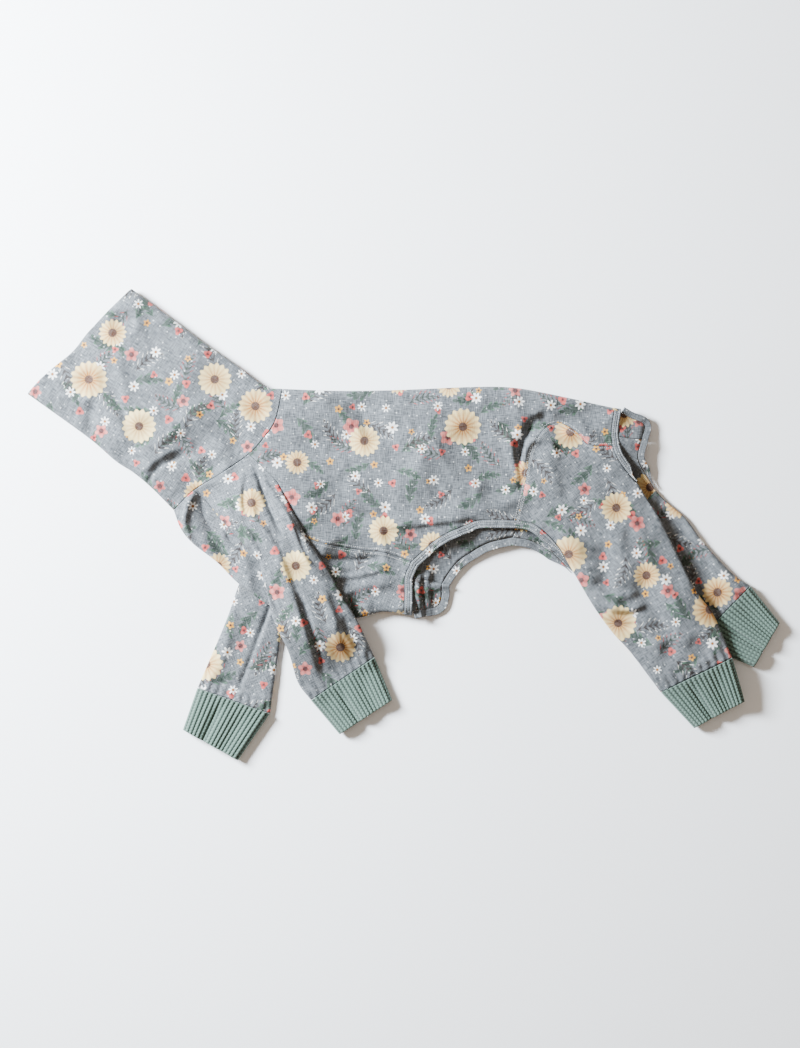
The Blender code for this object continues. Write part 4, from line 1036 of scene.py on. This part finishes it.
def limb(name, kind, far, turn, offset):
    """A sleeve or leg: an outer grid from its head, and an inner one from the underarm or crotch."""
    mark = "far_" if far else ""
    if kind == "sleeve":
        cells, opening, attached, free_length = RAGLAN_CELLS, "pit", "raglan", SLEEVE_LENGTH
        head, rows = curves["neck_on_sleeve"], shares_across(SLEEVE_ROWS, 2)
    else:
        cells, opening, attached, free_length = THIGH_CELLS, "crotch", "thigh", LEG_LENGTH
        head, rows = curves[mark + "hip"], HIP_ROWS
    tube_cells = round(free_length / CELL)
    sides = [chain((curves[f"{mark}{attached}_{side}"], even(cells)),
                   (curves[f"{mark}{kind}_{side}"], even(tube_cells))) for side in ("front", "back")]
    end = along(curves[f"{mark}{kind}_end"], rows)
    outer = coons(sides[0], sides[1], along(head, rows), end)
    inner = coons(sides[0][cells:], sides[1][cells:], along(curves[mark + opening], rows), end)
    full = round_edge(rows, TUBE_REACH)[None, :]
    station = np.arange(len(outer))[:, None]
    # The share of its depth at which each layer lies, from the tube's middle out
    if kind == "sleeve":
        free = smooth((station - cells) / (tube_cells / 4))
        outer_share, inner_share = full * (1 - free) + free * (1 + full) / 2, (free * (1 - full) / 2)[cells:]
    else:
        closing = smooth(station / cells)
        outer_share, inner_share = 1 - closing * (1 - full) / 2, ((1 - full) / 2 * (station >= cells))[cells:]
    if far:
        outer_z, inner_z = [JERSEY / 2 + LIMB_DEPTH * (1 - share) for share in (outer_share, inner_share)]
    else:
        rest = under_sleeve if kind == "sleeve" else under_leg
        outer_z = JERSEY / 2 + rest(outer) + LIMB_DEPTH * outer_share
        inner_z = JERSEY / 2 + rest(inner) + LIMB_DEPTH * inner_share
    # The head of the limb lies on the body
    sewn, hold = outer[:cells + 1], smooth(station[:cells + 1] / cells)
    level = far_level(sewn) if far else near_level(sewn)
    side = -1 if far else 1
    if kind == "leg":
        height = level - side * LIMB_DEPTH * (1 - outer_share[:cells + 1])
    else:
        height = level + side * hold * (JERSEY + LAYER_GAP + LIMB_DEPTH * outer_share[:cells + 1])
    outer_z[:cells + 1] = np.maximum(height, JERSEY / 2)
    shows = inner if far else outer
    mid = round_edge(rows, MIDDLE_REACH)[None, :]
    rows_left = len(shows) - 1 - np.arange(len(shows))[:, None]
    from_cuff = rows_left * CELL
    pucker = PUCKER_HEIGHT * np.cos(2 * math.pi * PUCKERS * rows)[None, :]
    pucker = pucker * smooth(1 - from_cuff / PUCKER_REACH) * smooth(from_cuff / PUCKER_START)
    relief = (folds(shows, mark + kind) * smooth(rows_left / END_ROWS) + pucker) * mid
    if far:
        inner_z = inner_z + relief * smooth(np.arange(len(inner))[:, None] / HEAD_ROWS)
        if kind == "leg":
            outer_z[:cells + 1] += body_relief(sewn, True) * (1 - smooth(station[:cells + 1] / cells))
            outer_z = np.maximum(outer_z, JERSEY / 2)
    else:
        hold = smooth(station / (cells * (SLEEVE_HOLD if kind == "sleeve" else 1.0)))
        sewn_share = smooth(1 - (station - cells) / SEWN_ROWS) if kind == "sleeve" else 1.0
        body_share = (1 - hold * (mid if kind == "sleeve" else 1.0)) * sewn_share
        outer_z = outer_z + relief * hold + folds(outer, "body") * body_share
    # The layer that shows stays above the hidden one
    clear = (JERSEY + SEAM_GAP) * mid
    if far:
        inner_z = np.maximum(inner_z, outer_z[cells:] + clear)
    else:
        outer_z[cells:] = np.maximum(outer_z[cells:], inner_z + clear)
    top, under = with_height(outer, outer_z), with_height(inner, inner_z)
    top[-1], under[-1] = eased(top[-1], top[-2]), eased(under[-1], under[-2])
    top[0] = eased(top[0], top[1])
    for column, inward in ((0, 1), (-1, -2)):
        top[:cells, column] = eased(top[:cells, column], top[:cells, inward])
        under[:, column] = top[cells:, column]
    return cloth(name, [(top, not far, flat_map(outer, turn, False, offset)),
                        (under, far, flat_map(inner, turn, True, offset + UNDER_SHIFT))], JERSEY, jersey)


sleeve_left = limb("sleeve_left_cloth", "sleeve", False, turn=62, offset=2.3)
sleeve_right = limb("sleeve_right_cloth", "sleeve", True, turn=112, offset=2.9)
leg_left = limb("leg_left_cloth", "leg", False, turn=54, offset=3.6)
leg_right = limb("leg_right_cloth", "leg", True, turn=36, offset=4.3)

# %% [markdown]
# The cuffs are a thick rib knit with a waffle face: ribs run from the seam to the mouth, and short bars
# cross the grooves between them. A repeat like this is a job for Geometry Nodes: the tree moves each
# point of a plain folded tube along its normal, by how far across and along the knit it lies.

# %% Cuff material
COURSE = 0.0036
BAR_HEIGHT = 0.0003
CHEVRON = 0.0010
# How much painted shade darkens the grooves between ribs and bars and lightens their raised tops
RIB_PAINTED_SHADE, COURSE_PAINTED_SHADE, PAINTED_SHADE_MIDDLE = 0.34, 0.24, 0.46


def wave(tree, value, pitch):
    """A cosine wave of a given pitch."""
    turns = add(tree, MATH, "DIVIDE", (value, pitch))
    return add(tree, MATH, "COSINE", (add(tree, MATH, "MULTIPLY", (turns, FULL_TURN)),))


def cuff_material():
    """Cotton rib with painted shade between its ribs and bars and a painted highlight on their tops, with a
    flecked and fuzzy yarn.
    """
    made, tree, shader = new_material("sage rib knit", 0.92, 0.25)
    flat = add(tree, "ShaderNodeUVMap", {"uv_map": "cloth"})
    parts = add(tree, "ShaderNodeSeparateXYZ", inputs=(flat,)).outputs
    rib = wave(tree, parts[0], RIB_PITCH)
    course = wave(tree, add(tree, MATH, "MULTIPLY_ADD", (rib, CHEVRON, parts[1])), COURSE)
    # Painted shade and highlight: the tone follows the knit's relief, dark in the grooves and light on the
    # raised ribs and bars
    level = add(tree, MATH, "MULTIPLY_ADD", (course, COURSE_PAINTED_SHADE, PAINTED_SHADE_MIDDLE))
    level = add(tree, MATH, "MULTIPLY_ADD", (rib, RIB_PAINTED_SHADE, level))
    tone = add(tree, MIX, COLOUR, {0: level, 6: linear("#121A17"), 7: linear("#576D62")})
    fleck = add(tree, "ShaderNodeTexNoise", inputs={"Vector": flat, "Scale": 900.0, "Detail": 2.0})
    flecked = add(tree, MATH, "MULTIPLY", (fleck, 0.22))
    tone = add(tree, MIX, COLOUR, {0: flecked, 6: tone, 7: linear("#748A7E")})
    tree.links.new(tone.outputs[2], shader.inputs["Base Color"])
    bump = add(tree, "ShaderNodeBump", inputs={"Strength": 0.3, "Distance": 0.0004, "Height": fleck})
    tree.links.new(bump.outputs[0], shader.inputs["Normal"])
    print(f"{made.name}: {len(tree.nodes)} nodes")
    return made


rib_knit = cuff_material()

# %% [markdown]
# Every tree here is made and used in the same way. It has named inputs for its sizes, and it ends by making
# its instances real and giving them their material. Its result is taken as a plain mesh.

# %% Trees made and used
def new_tree(name, numbers):
    """A tree with a geometry on both sides, named numbers and a material, returned with its ends."""
    tree = bpy.data.node_groups.new(name, "GeometryNodeTree")
    face = tree.interface
    face.new_socket("Geometry", in_out="OUTPUT", socket_type="NodeSocketGeometry")
    face.new_socket("Geometry", in_out="INPUT", socket_type="NodeSocketGeometry")
    for number in numbers:
        face.new_socket(number, in_out="INPUT", socket_type="NodeSocketFloat")
    face.new_socket("Material", in_out="INPUT", socket_type="NodeSocketMaterial")
    return tree, add(tree, "NodeGroupInput").outputs, add(tree, "NodeGroupOutput")


def finished(tree, last, given, result):
    """Makes the instances real and gives them their material."""
    real = add(tree, "GeometryNodeRealizeInstances", inputs=(last,))
    dressed = add(tree, "GeometryNodeSetMaterial", inputs={0: real, "Material": given["Material"]})
    tree.links.new(dressed.outputs[0], result.inputs[0])
    print(f"{tree.name}: {len(tree.nodes)} nodes")
    return tree


def baked(carrier, tree, values):
    """The plain mesh that a tree makes of an object. Inputs are set by their sockets' identifiers."""
    modifier = carrier.modifiers.new(tree.name, "NODES")
    modifier.node_group = tree
    for item in tree.interface.items_tree:
        if item.item_type == "SOCKET" and item.in_out == "INPUT" and item.name in values:
            modifier[item.identifier] = values[item.name]
    graph = bpy.context.evaluated_depsgraph_get()
    mesh = bpy.data.meshes.new_from_object(carrier.evaluated_get(graph))
    carrier.modifiers.remove(modifier)
    return mesh


# %% Rib knit tree
def knit_tree():
    """Moves the points of a tube out along their normals into ribs and bars."""
    tree, given, result = new_tree("rib knit", ("Rib pitch", "Rib height", "Course pitch", "Bar height",
                                                "Chevron"))
    place = add(tree, "GeometryNodeInputNamedAttribute", {"data_type": "FLOAT_VECTOR"}, {"Name": "knit"})
    parts = add(tree, "ShaderNodeSeparateXYZ", inputs=(place,)).outputs
    rib = wave(tree, parts[0], given["Rib pitch"])
    leaning = add(tree, MATH, "MULTIPLY_ADD", (rib, given["Chevron"], parts[1]))
    course = wave(tree, leaning, given["Course pitch"])
    bars = add(tree, MATH, "MULTIPLY", (course, given["Bar height"]))
    height = add(tree, MATH, "MULTIPLY_ADD", (rib, given["Rib height"], bars))
    # The third value fades the relief out at the side folds
    faded = add(tree, MATH, "MULTIPLY", (height, parts[2]))
    normal = add(tree, "GeometryNodeInputNormal")
    offset = add(tree, VECTOR, "SCALE", {0: normal, "Scale": faded})
    moved = add(tree, "GeometryNodeSetPosition", inputs={"Geometry": given["Geometry"], "Offset": offset})
    return finished(tree, moved, given, result)


rib_tree = knit_tree()

# %% [markdown]
# A cuff is a plain folded tube that carries, on every point, its place on the knit. It sags a little in its
# middle, and two soft dents run up from its mouth, as a rib does that is let go.

# %% Cuffs
CUFF_ROWS = 60
CELLS_PER_RIB = 6
CUFF_REACH = 0.12
CUFF_SAG = 0.10
KNIT_LENGTH = 0.052
KNIT_FADE = 1.5
KNIT_BED = CUFF_KNIT * 0.35
KNIT_WALL = CUFF_KNIT * 0.7
CUFF_DENTS = (
    # share across, width as a share, depth as a share of the cuff's half height
    (0.36, 0.06, 0.9),
    (0.70, 0.10, 0.5),
)


def cuff(name, kind, far):
    """A knitted cuff between a limb's end and its mouth."""
    mark = "far_" if far else ""
    mouth = mark + ("front" if kind == "sleeve" else "hind") + "_mouth"
    seam = curves[f"{mark}{kind}_end"]
    ribs = round(np.linalg.norm(seam[-1] - seam[0]) / RIB_PITCH)
    shares = even(ribs * CELLS_PER_RIB)
    front, back = [along(curves[f"{mouth}_{side}"], even(CUFF_ROWS)) for side in ("front", "back")]
    plan = coons(front, back, along(seam, shares), along(curves[mouth], shares))
    full = round_edge(shares, CUFF_REACH)[None, :]
    bed = np.zeros(plan.shape[:-1]) if far else (under_sleeve if kind == "sleeve" else under_leg)(plan)
    middle = bed + KNIT_BED + RIB_HEIGHT + BAR_HEIGHT + CUFF_DEPTH / 2
    v = even(CUFF_ROWS)[:, None]
    sag = 1 - CUFF_SAG * smooth(2 - 4 * np.abs(v - 0.5))
    dent = sum(depth * np.exp(-((shares - at) / spread) ** 2) for at, spread, depth in CUFF_DENTS)[None, :]
    down, across = np.meshgrid(v[:, 0] * KNIT_LENGTH, shares * ribs * RIB_PITCH, indexing="ij")
    knit = np.stack((across, down), axis=-1)
    fade = np.broadcast_to(smooth(full * KNIT_FADE), across.shape)
    layers = []
    for side in (1, -1):
        shaped = full * sag * (1 - dent * smooth(2 * v) if side > 0 else 1)
        grid = with_height(plan, middle + side * CUFF_DEPTH / 2 * shaped)
        grid[0] = eased(grid[0], grid[1])
        layers.append((grid, side > 0, knit))
    made = cloth(name, layers, 0.0, rib_knit, marks=[with_height(knit, fade)] * 2)
    sizes = {"Rib pitch": RIB_PITCH, "Rib height": RIB_HEIGHT, "Course pitch": COURSE,
             "Bar height": BAR_HEIGHT, "Chevron": CHEVRON, "Material": rib_knit}
    made.data = baked(made, rib_tree, sizes)
    made.data.shade_smooth()
    thick = made.modifiers.new("thickness", "SOLIDIFY")
    thick.thickness = KNIT_WALL
    thick.offset = 0
    return made


cuff_pieces = {
    "front_cuff_left": cuff("front_cuff_left_knit", "sleeve", False),
    "front_cuff_right": cuff("front_cuff_right_knit", "sleeve", True),
    "hind_cuff_left": cuff("hind_cuff_left_knit", "leg", False),
    "hind_cuff_right": cuff("hind_cuff_right_knit", "leg", True),
}

# %% [markdown]
# The belly and tail openings are bound with a folded band of the same jersey, stitched down in rows. Each
# row draws the band in, so it swells between them.

# %% Bindings
band_cloth = jersey_material("folded jersey binding")
BAND_THICK = 0.0016
BAND_SWELL = 0.0005
BAND_CELLS = 12
END_CELLS = 60
HIDDEN_SHARE = 0.15
LAST_SHARE = 0.05
BAND_LIFT = 0.0001
BAND_THINNING = 0.9
SWELLS, SWELL_LEVEL = 3, 0.4
band_sizes = {}


def edge_line(opening, mark):
    """The plan line of one side of an opening, with how far it has parted and how far the limb closes."""
    end_name, thigh = ("chest_end", "thigh_front") if opening == "belly" else ("tail_end", "thigh_back")
    shares = shares_across(END_CELLS, 1)
    if mark:
        shares = shares[shares >= HIDDEN_SHARE]
    stretches = [(curves[mark + end_name], shares)]
    full = [round_edge(shares, FOLD_REACH, both=False)]
    if opening == "belly":
        stretches.append((curves[mark + "arch"], even(ARCH_CELLS)))
        full.append(np.ones(ARCH_CELLS))
    stretches.append((curves[mark + thigh], even(THIGH_CELLS)))
    full.append(np.ones(THIGH_CELLS))
    pieces = [along(points, part) for points, part in stretches]
    line = np.concatenate([pieces[0]] + [piece[1:] for piece in pieces[1:]])
    full = np.concatenate(full)
    closing = np.zeros(len(line))
    closing[-THIGH_CELLS - 1:] = smooth(even(THIGH_CELLS))
    keep = len(line) - max(1, round(LAST_SHARE * THIGH_CELLS))
    return line[:keep], full[:keep], closing[:keep]


def band_heights(line, full, closing, far):
    """The height of the cloth's edge that a band is sewn to."""
    direction = -1 if far else 1
    heights = far_level(line) + BODY_DEPTH / 2 + direction * BODY_DEPTH / 2 * full
    heights = heights - direction * LIMB_DEPTH / 2 * closing
    relief = body_relief(line, far) * smooth(full * RELIEF_RAMP) * (1 - closing)
    return np.maximum(heights + relief, BAND_THICK / 2 + BAND_LIFT)


def beside(line, reach):
    """Plan points beside a line, at a reach to its left."""
    run = np.gradient(line, axis=0)
    normal = np.stack((-run[:, 1], run[:, 0]), axis=1) / np.linalg.norm(run, axis=1, keepdims=True)
    return line + normal * reach


def band_plan(opening, mark, reach):
    """Plan points beside the edge at a reach from it, with their heights."""
    line, full, closing = edge_line(opening, mark)
    side = -1 if opening == "belly" else 1
    gap = SEAM_GAP / 2 + JERSEY * closing
    # A band runs out thin where the limb closes
    narrowed = reach * (1 - BAND_THINNING * smooth(2.5 * closing - 1.5))
    plan = beside(line, side * (gap + narrowed)[:, None])
    return plan, band_heights(line, full, closing, bool(mark))


def binding(name, opening, far):
    """A band along one side of an opening, which swells between its rows of stitches."""
    mark = "far_" if far else ""
    width = BAND_WIDTH if opening == "belly" else TAIL_BAND_WIDTH
    shares = even(BAND_CELLS)
    strips = []
    for share in shares:
        plan, heights = band_plan(opening, mark, share * width)
        swell = 0 if far else BAND_SWELL * (abs(math.sin(SWELLS * math.pi * share)) - SWELL_LEVEL)
        strips.append(with_height(plan, heights + swell))
    grid = np.stack(strips, axis=1)
    reached = travelled(grid[:, BAND_CELLS // 2, :2])
    band_sizes[f"{opening}_binding_{'right' if far else 'left'}"] = (width, float(reached[-1]))
    flat = np.stack(np.meshgrid(reached, shares * width, indexing="ij"), axis=-1)
    return cloth(name, [(grid, not far, flat)], BAND_THICK, band_cloth)


band_pieces = {f"{opening}_binding_{side}": binding(f"{opening}_band_{side}", opening, side == "right")
               for opening in ("belly", "tail") for side in ("left", "right")}

# %% [markdown]
# Stitches follow the seams in even steps, so Geometry Nodes set them: a curve is resampled at the stitch
# length, a small rounded thread is placed on every point and turned along the curve.

# %% Stitch tree
# Thread is about 0.3 mm thick; it is drawn thicker, or it wouldn't show
THREAD_RADIUS = 0.00032
STITCH_LENGTH = 0.0024


def stitch_tree():
    """Sets a small rounded thread at every stitch of a path, turned along it."""
    tree, given, result = new_tree("stitch row", ("Stitch length", "Thread radius", "Share sewn"))
    path = add(tree, "GeometryNodeMeshToCurve", inputs=(given["Geometry"],))
    steps = add(tree, "GeometryNodeResampleCurve", {"mode": "LENGTH"},
                {"Curve": path, "Length": given["Stitch length"]})
    thread = add(tree, "GeometryNodeMeshIcoSphere", inputs={"Radius": 1.0, "Subdivisions": 1})
    tangent = add(tree, "GeometryNodeInputTangent")
    turned = add(tree, "FunctionNodeAlignRotationToVector", {"axis": "X"}, {"Vector": tangent})
    sewn = add(tree, MATH, "MULTIPLY", (given["Stitch length"], given["Share sewn"]))
    half = add(tree, MATH, "MULTIPLY", (sewn, 0.5))
    size = add(tree, "ShaderNodeCombineXYZ", inputs=(half, given["Thread radius"], given["Thread radius"]))
    placed = add(tree, "GeometryNodeInstanceOnPoints",
                 inputs={"Points": steps, "Instance": thread, "Rotation": turned, "Scale": size})
    return finished(tree, placed, given, result)


thread_tree = stitch_tree()

# %% [markdown]
# Spun polyester thread is smoother than the cloth and nearly white, with a fine twist in it.

# %% Thread
def thread_material():
    """White thread, flecked along its twist."""
    made, tree, shader = new_material("white polyester thread", 0.55, 0.1)
    place = add(tree, "ShaderNodeTexCoord")
    twist = add(tree, "ShaderNodeTexNoise", inputs={"Vector": place.outputs["Object"], "Scale": 1400.0})
    tone = add(tree, MIX, COLOUR, {0: twist, 6: linear("#8F908F"), 7: linear("#C9C9C6")})
    tree.links.new(tone.outputs[2], shader.inputs["Base Color"])
    return made


thread = thread_material()


print(thread.name)

# %% [markdown]
# The rows: two on each near band, two beside the side seam, and a zigzag between two plain rows round the
# hip, as a cover stitch is seen from its right side.

# %% Stitch rows
ZIGZAG_STEP = 0.0022
SHARE_SEWN = 0.8
BAND_ROWS = (0.2, 0.8)
ROW_SWELL = 0.3
SEAM_ROWS = (
    # edge, from share, to share, offset of the row (mm), half width of its zigzag (mm)
    ("side_seam", 0.0, 1.0, 3.0, 0.0),
    ("side_seam", 0.0, 1.0, -3.0, 0.0),
    ("hip", 0.0, 0.5, 0.0, 1.1),
    ("hip", 0.0, 1.0, 2.4, 0.0),
    ("hip", 0.0, 1.0, -2.4, 0.0),
)
stitch_lines = []
for opening, width in (("belly", BAND_WIDTH), ("tail", TAIL_BAND_WIDTH)):
    for share in BAND_ROWS:
        # The far bands are turned under, so only the near ones show their stitches
        plan, heights = band_plan(opening, "", share * width)
        stitch_lines.append(with_height(plan, heights + BAND_THICK / 2 + BAND_SWELL * ROW_SWELL))
for name, first, last, reach, swing in SEAM_ROWS:
    steps = round((last - first) * travelled(curves[name])[-1] / ZIGZAG_STEP)
    line = along(curves[name], first + (last - first) * even(steps))
    turns = np.where(np.arange(steps + 1) % 2, swing, -swing)[:, None]
    plan = beside(line, (reach + turns) * 0.001)
    stitch_lines.append(with_height(plan, near_level(plan) + folds(plan, "body") + JERSEY / 2))
print("rows of stitches:", len(stitch_lines))

# %% Stitches
points, edges = [], []
for row in stitch_lines:
    start = len(points)
    points += row.tolist()
    edges += [(start + i, start + i + 1) for i in range(len(row) - 1)]
stitch_mesh = bpy.data.meshes.new("seam_stitches")
stitch_mesh.from_pydata(points, edges, [])
stitches = bpy.data.objects.new("seam_stitches", stitch_mesh)
bpy.context.collection.objects.link(stitches)
stitches.data = baked(stitches, thread_tree, {"Stitch length": STITCH_LENGTH, "Thread radius": THREAD_RADIUS,
                                              "Share sewn": SHARE_SEWN, "Material": thread})
stitches.data.shade_smooth()
print("stitches:", len(stitches.data.polygons), "faces")

# %% [markdown]
# Last, each piece takes the place of its solid, which is hidden, and rides on the garment.
# The flat size of a sheet is what was cut: round the tube and along it.

# %% Hand over
SHEETS = (
    # piece, node, width and length as cut (m), share of that rectangle that is cloth
    (neck_cloth, "neck_tube", (0.420, 0.230), 0.87),
    (back_cloth, "back_panel", (0.345, 0.400), 0.80),
    (chest_cloth, "chest_panel", (0.190, 0.310), 0.62),
    (sleeve_left, "front_sleeve_left", (0.190, 0.300), 0.80),
    (sleeve_right, "front_sleeve_right", (0.190, 0.290), 0.80),
    (leg_left, "hind_leg_left", (0.245, 0.290), 0.80),
    (leg_right, "hind_leg_right", (0.245, 0.270), 0.80),
)
for piece, node, size, share in SHEETS:
    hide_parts(node)
    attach(piece, "root")
for node, piece in cuff_pieces.items():
    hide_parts(node)
    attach(piece, "root")
for node, piece in band_pieces.items():
    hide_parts(node)
    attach(piece, "root")
    width, long = band_sizes[node]
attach(stitches, "root")
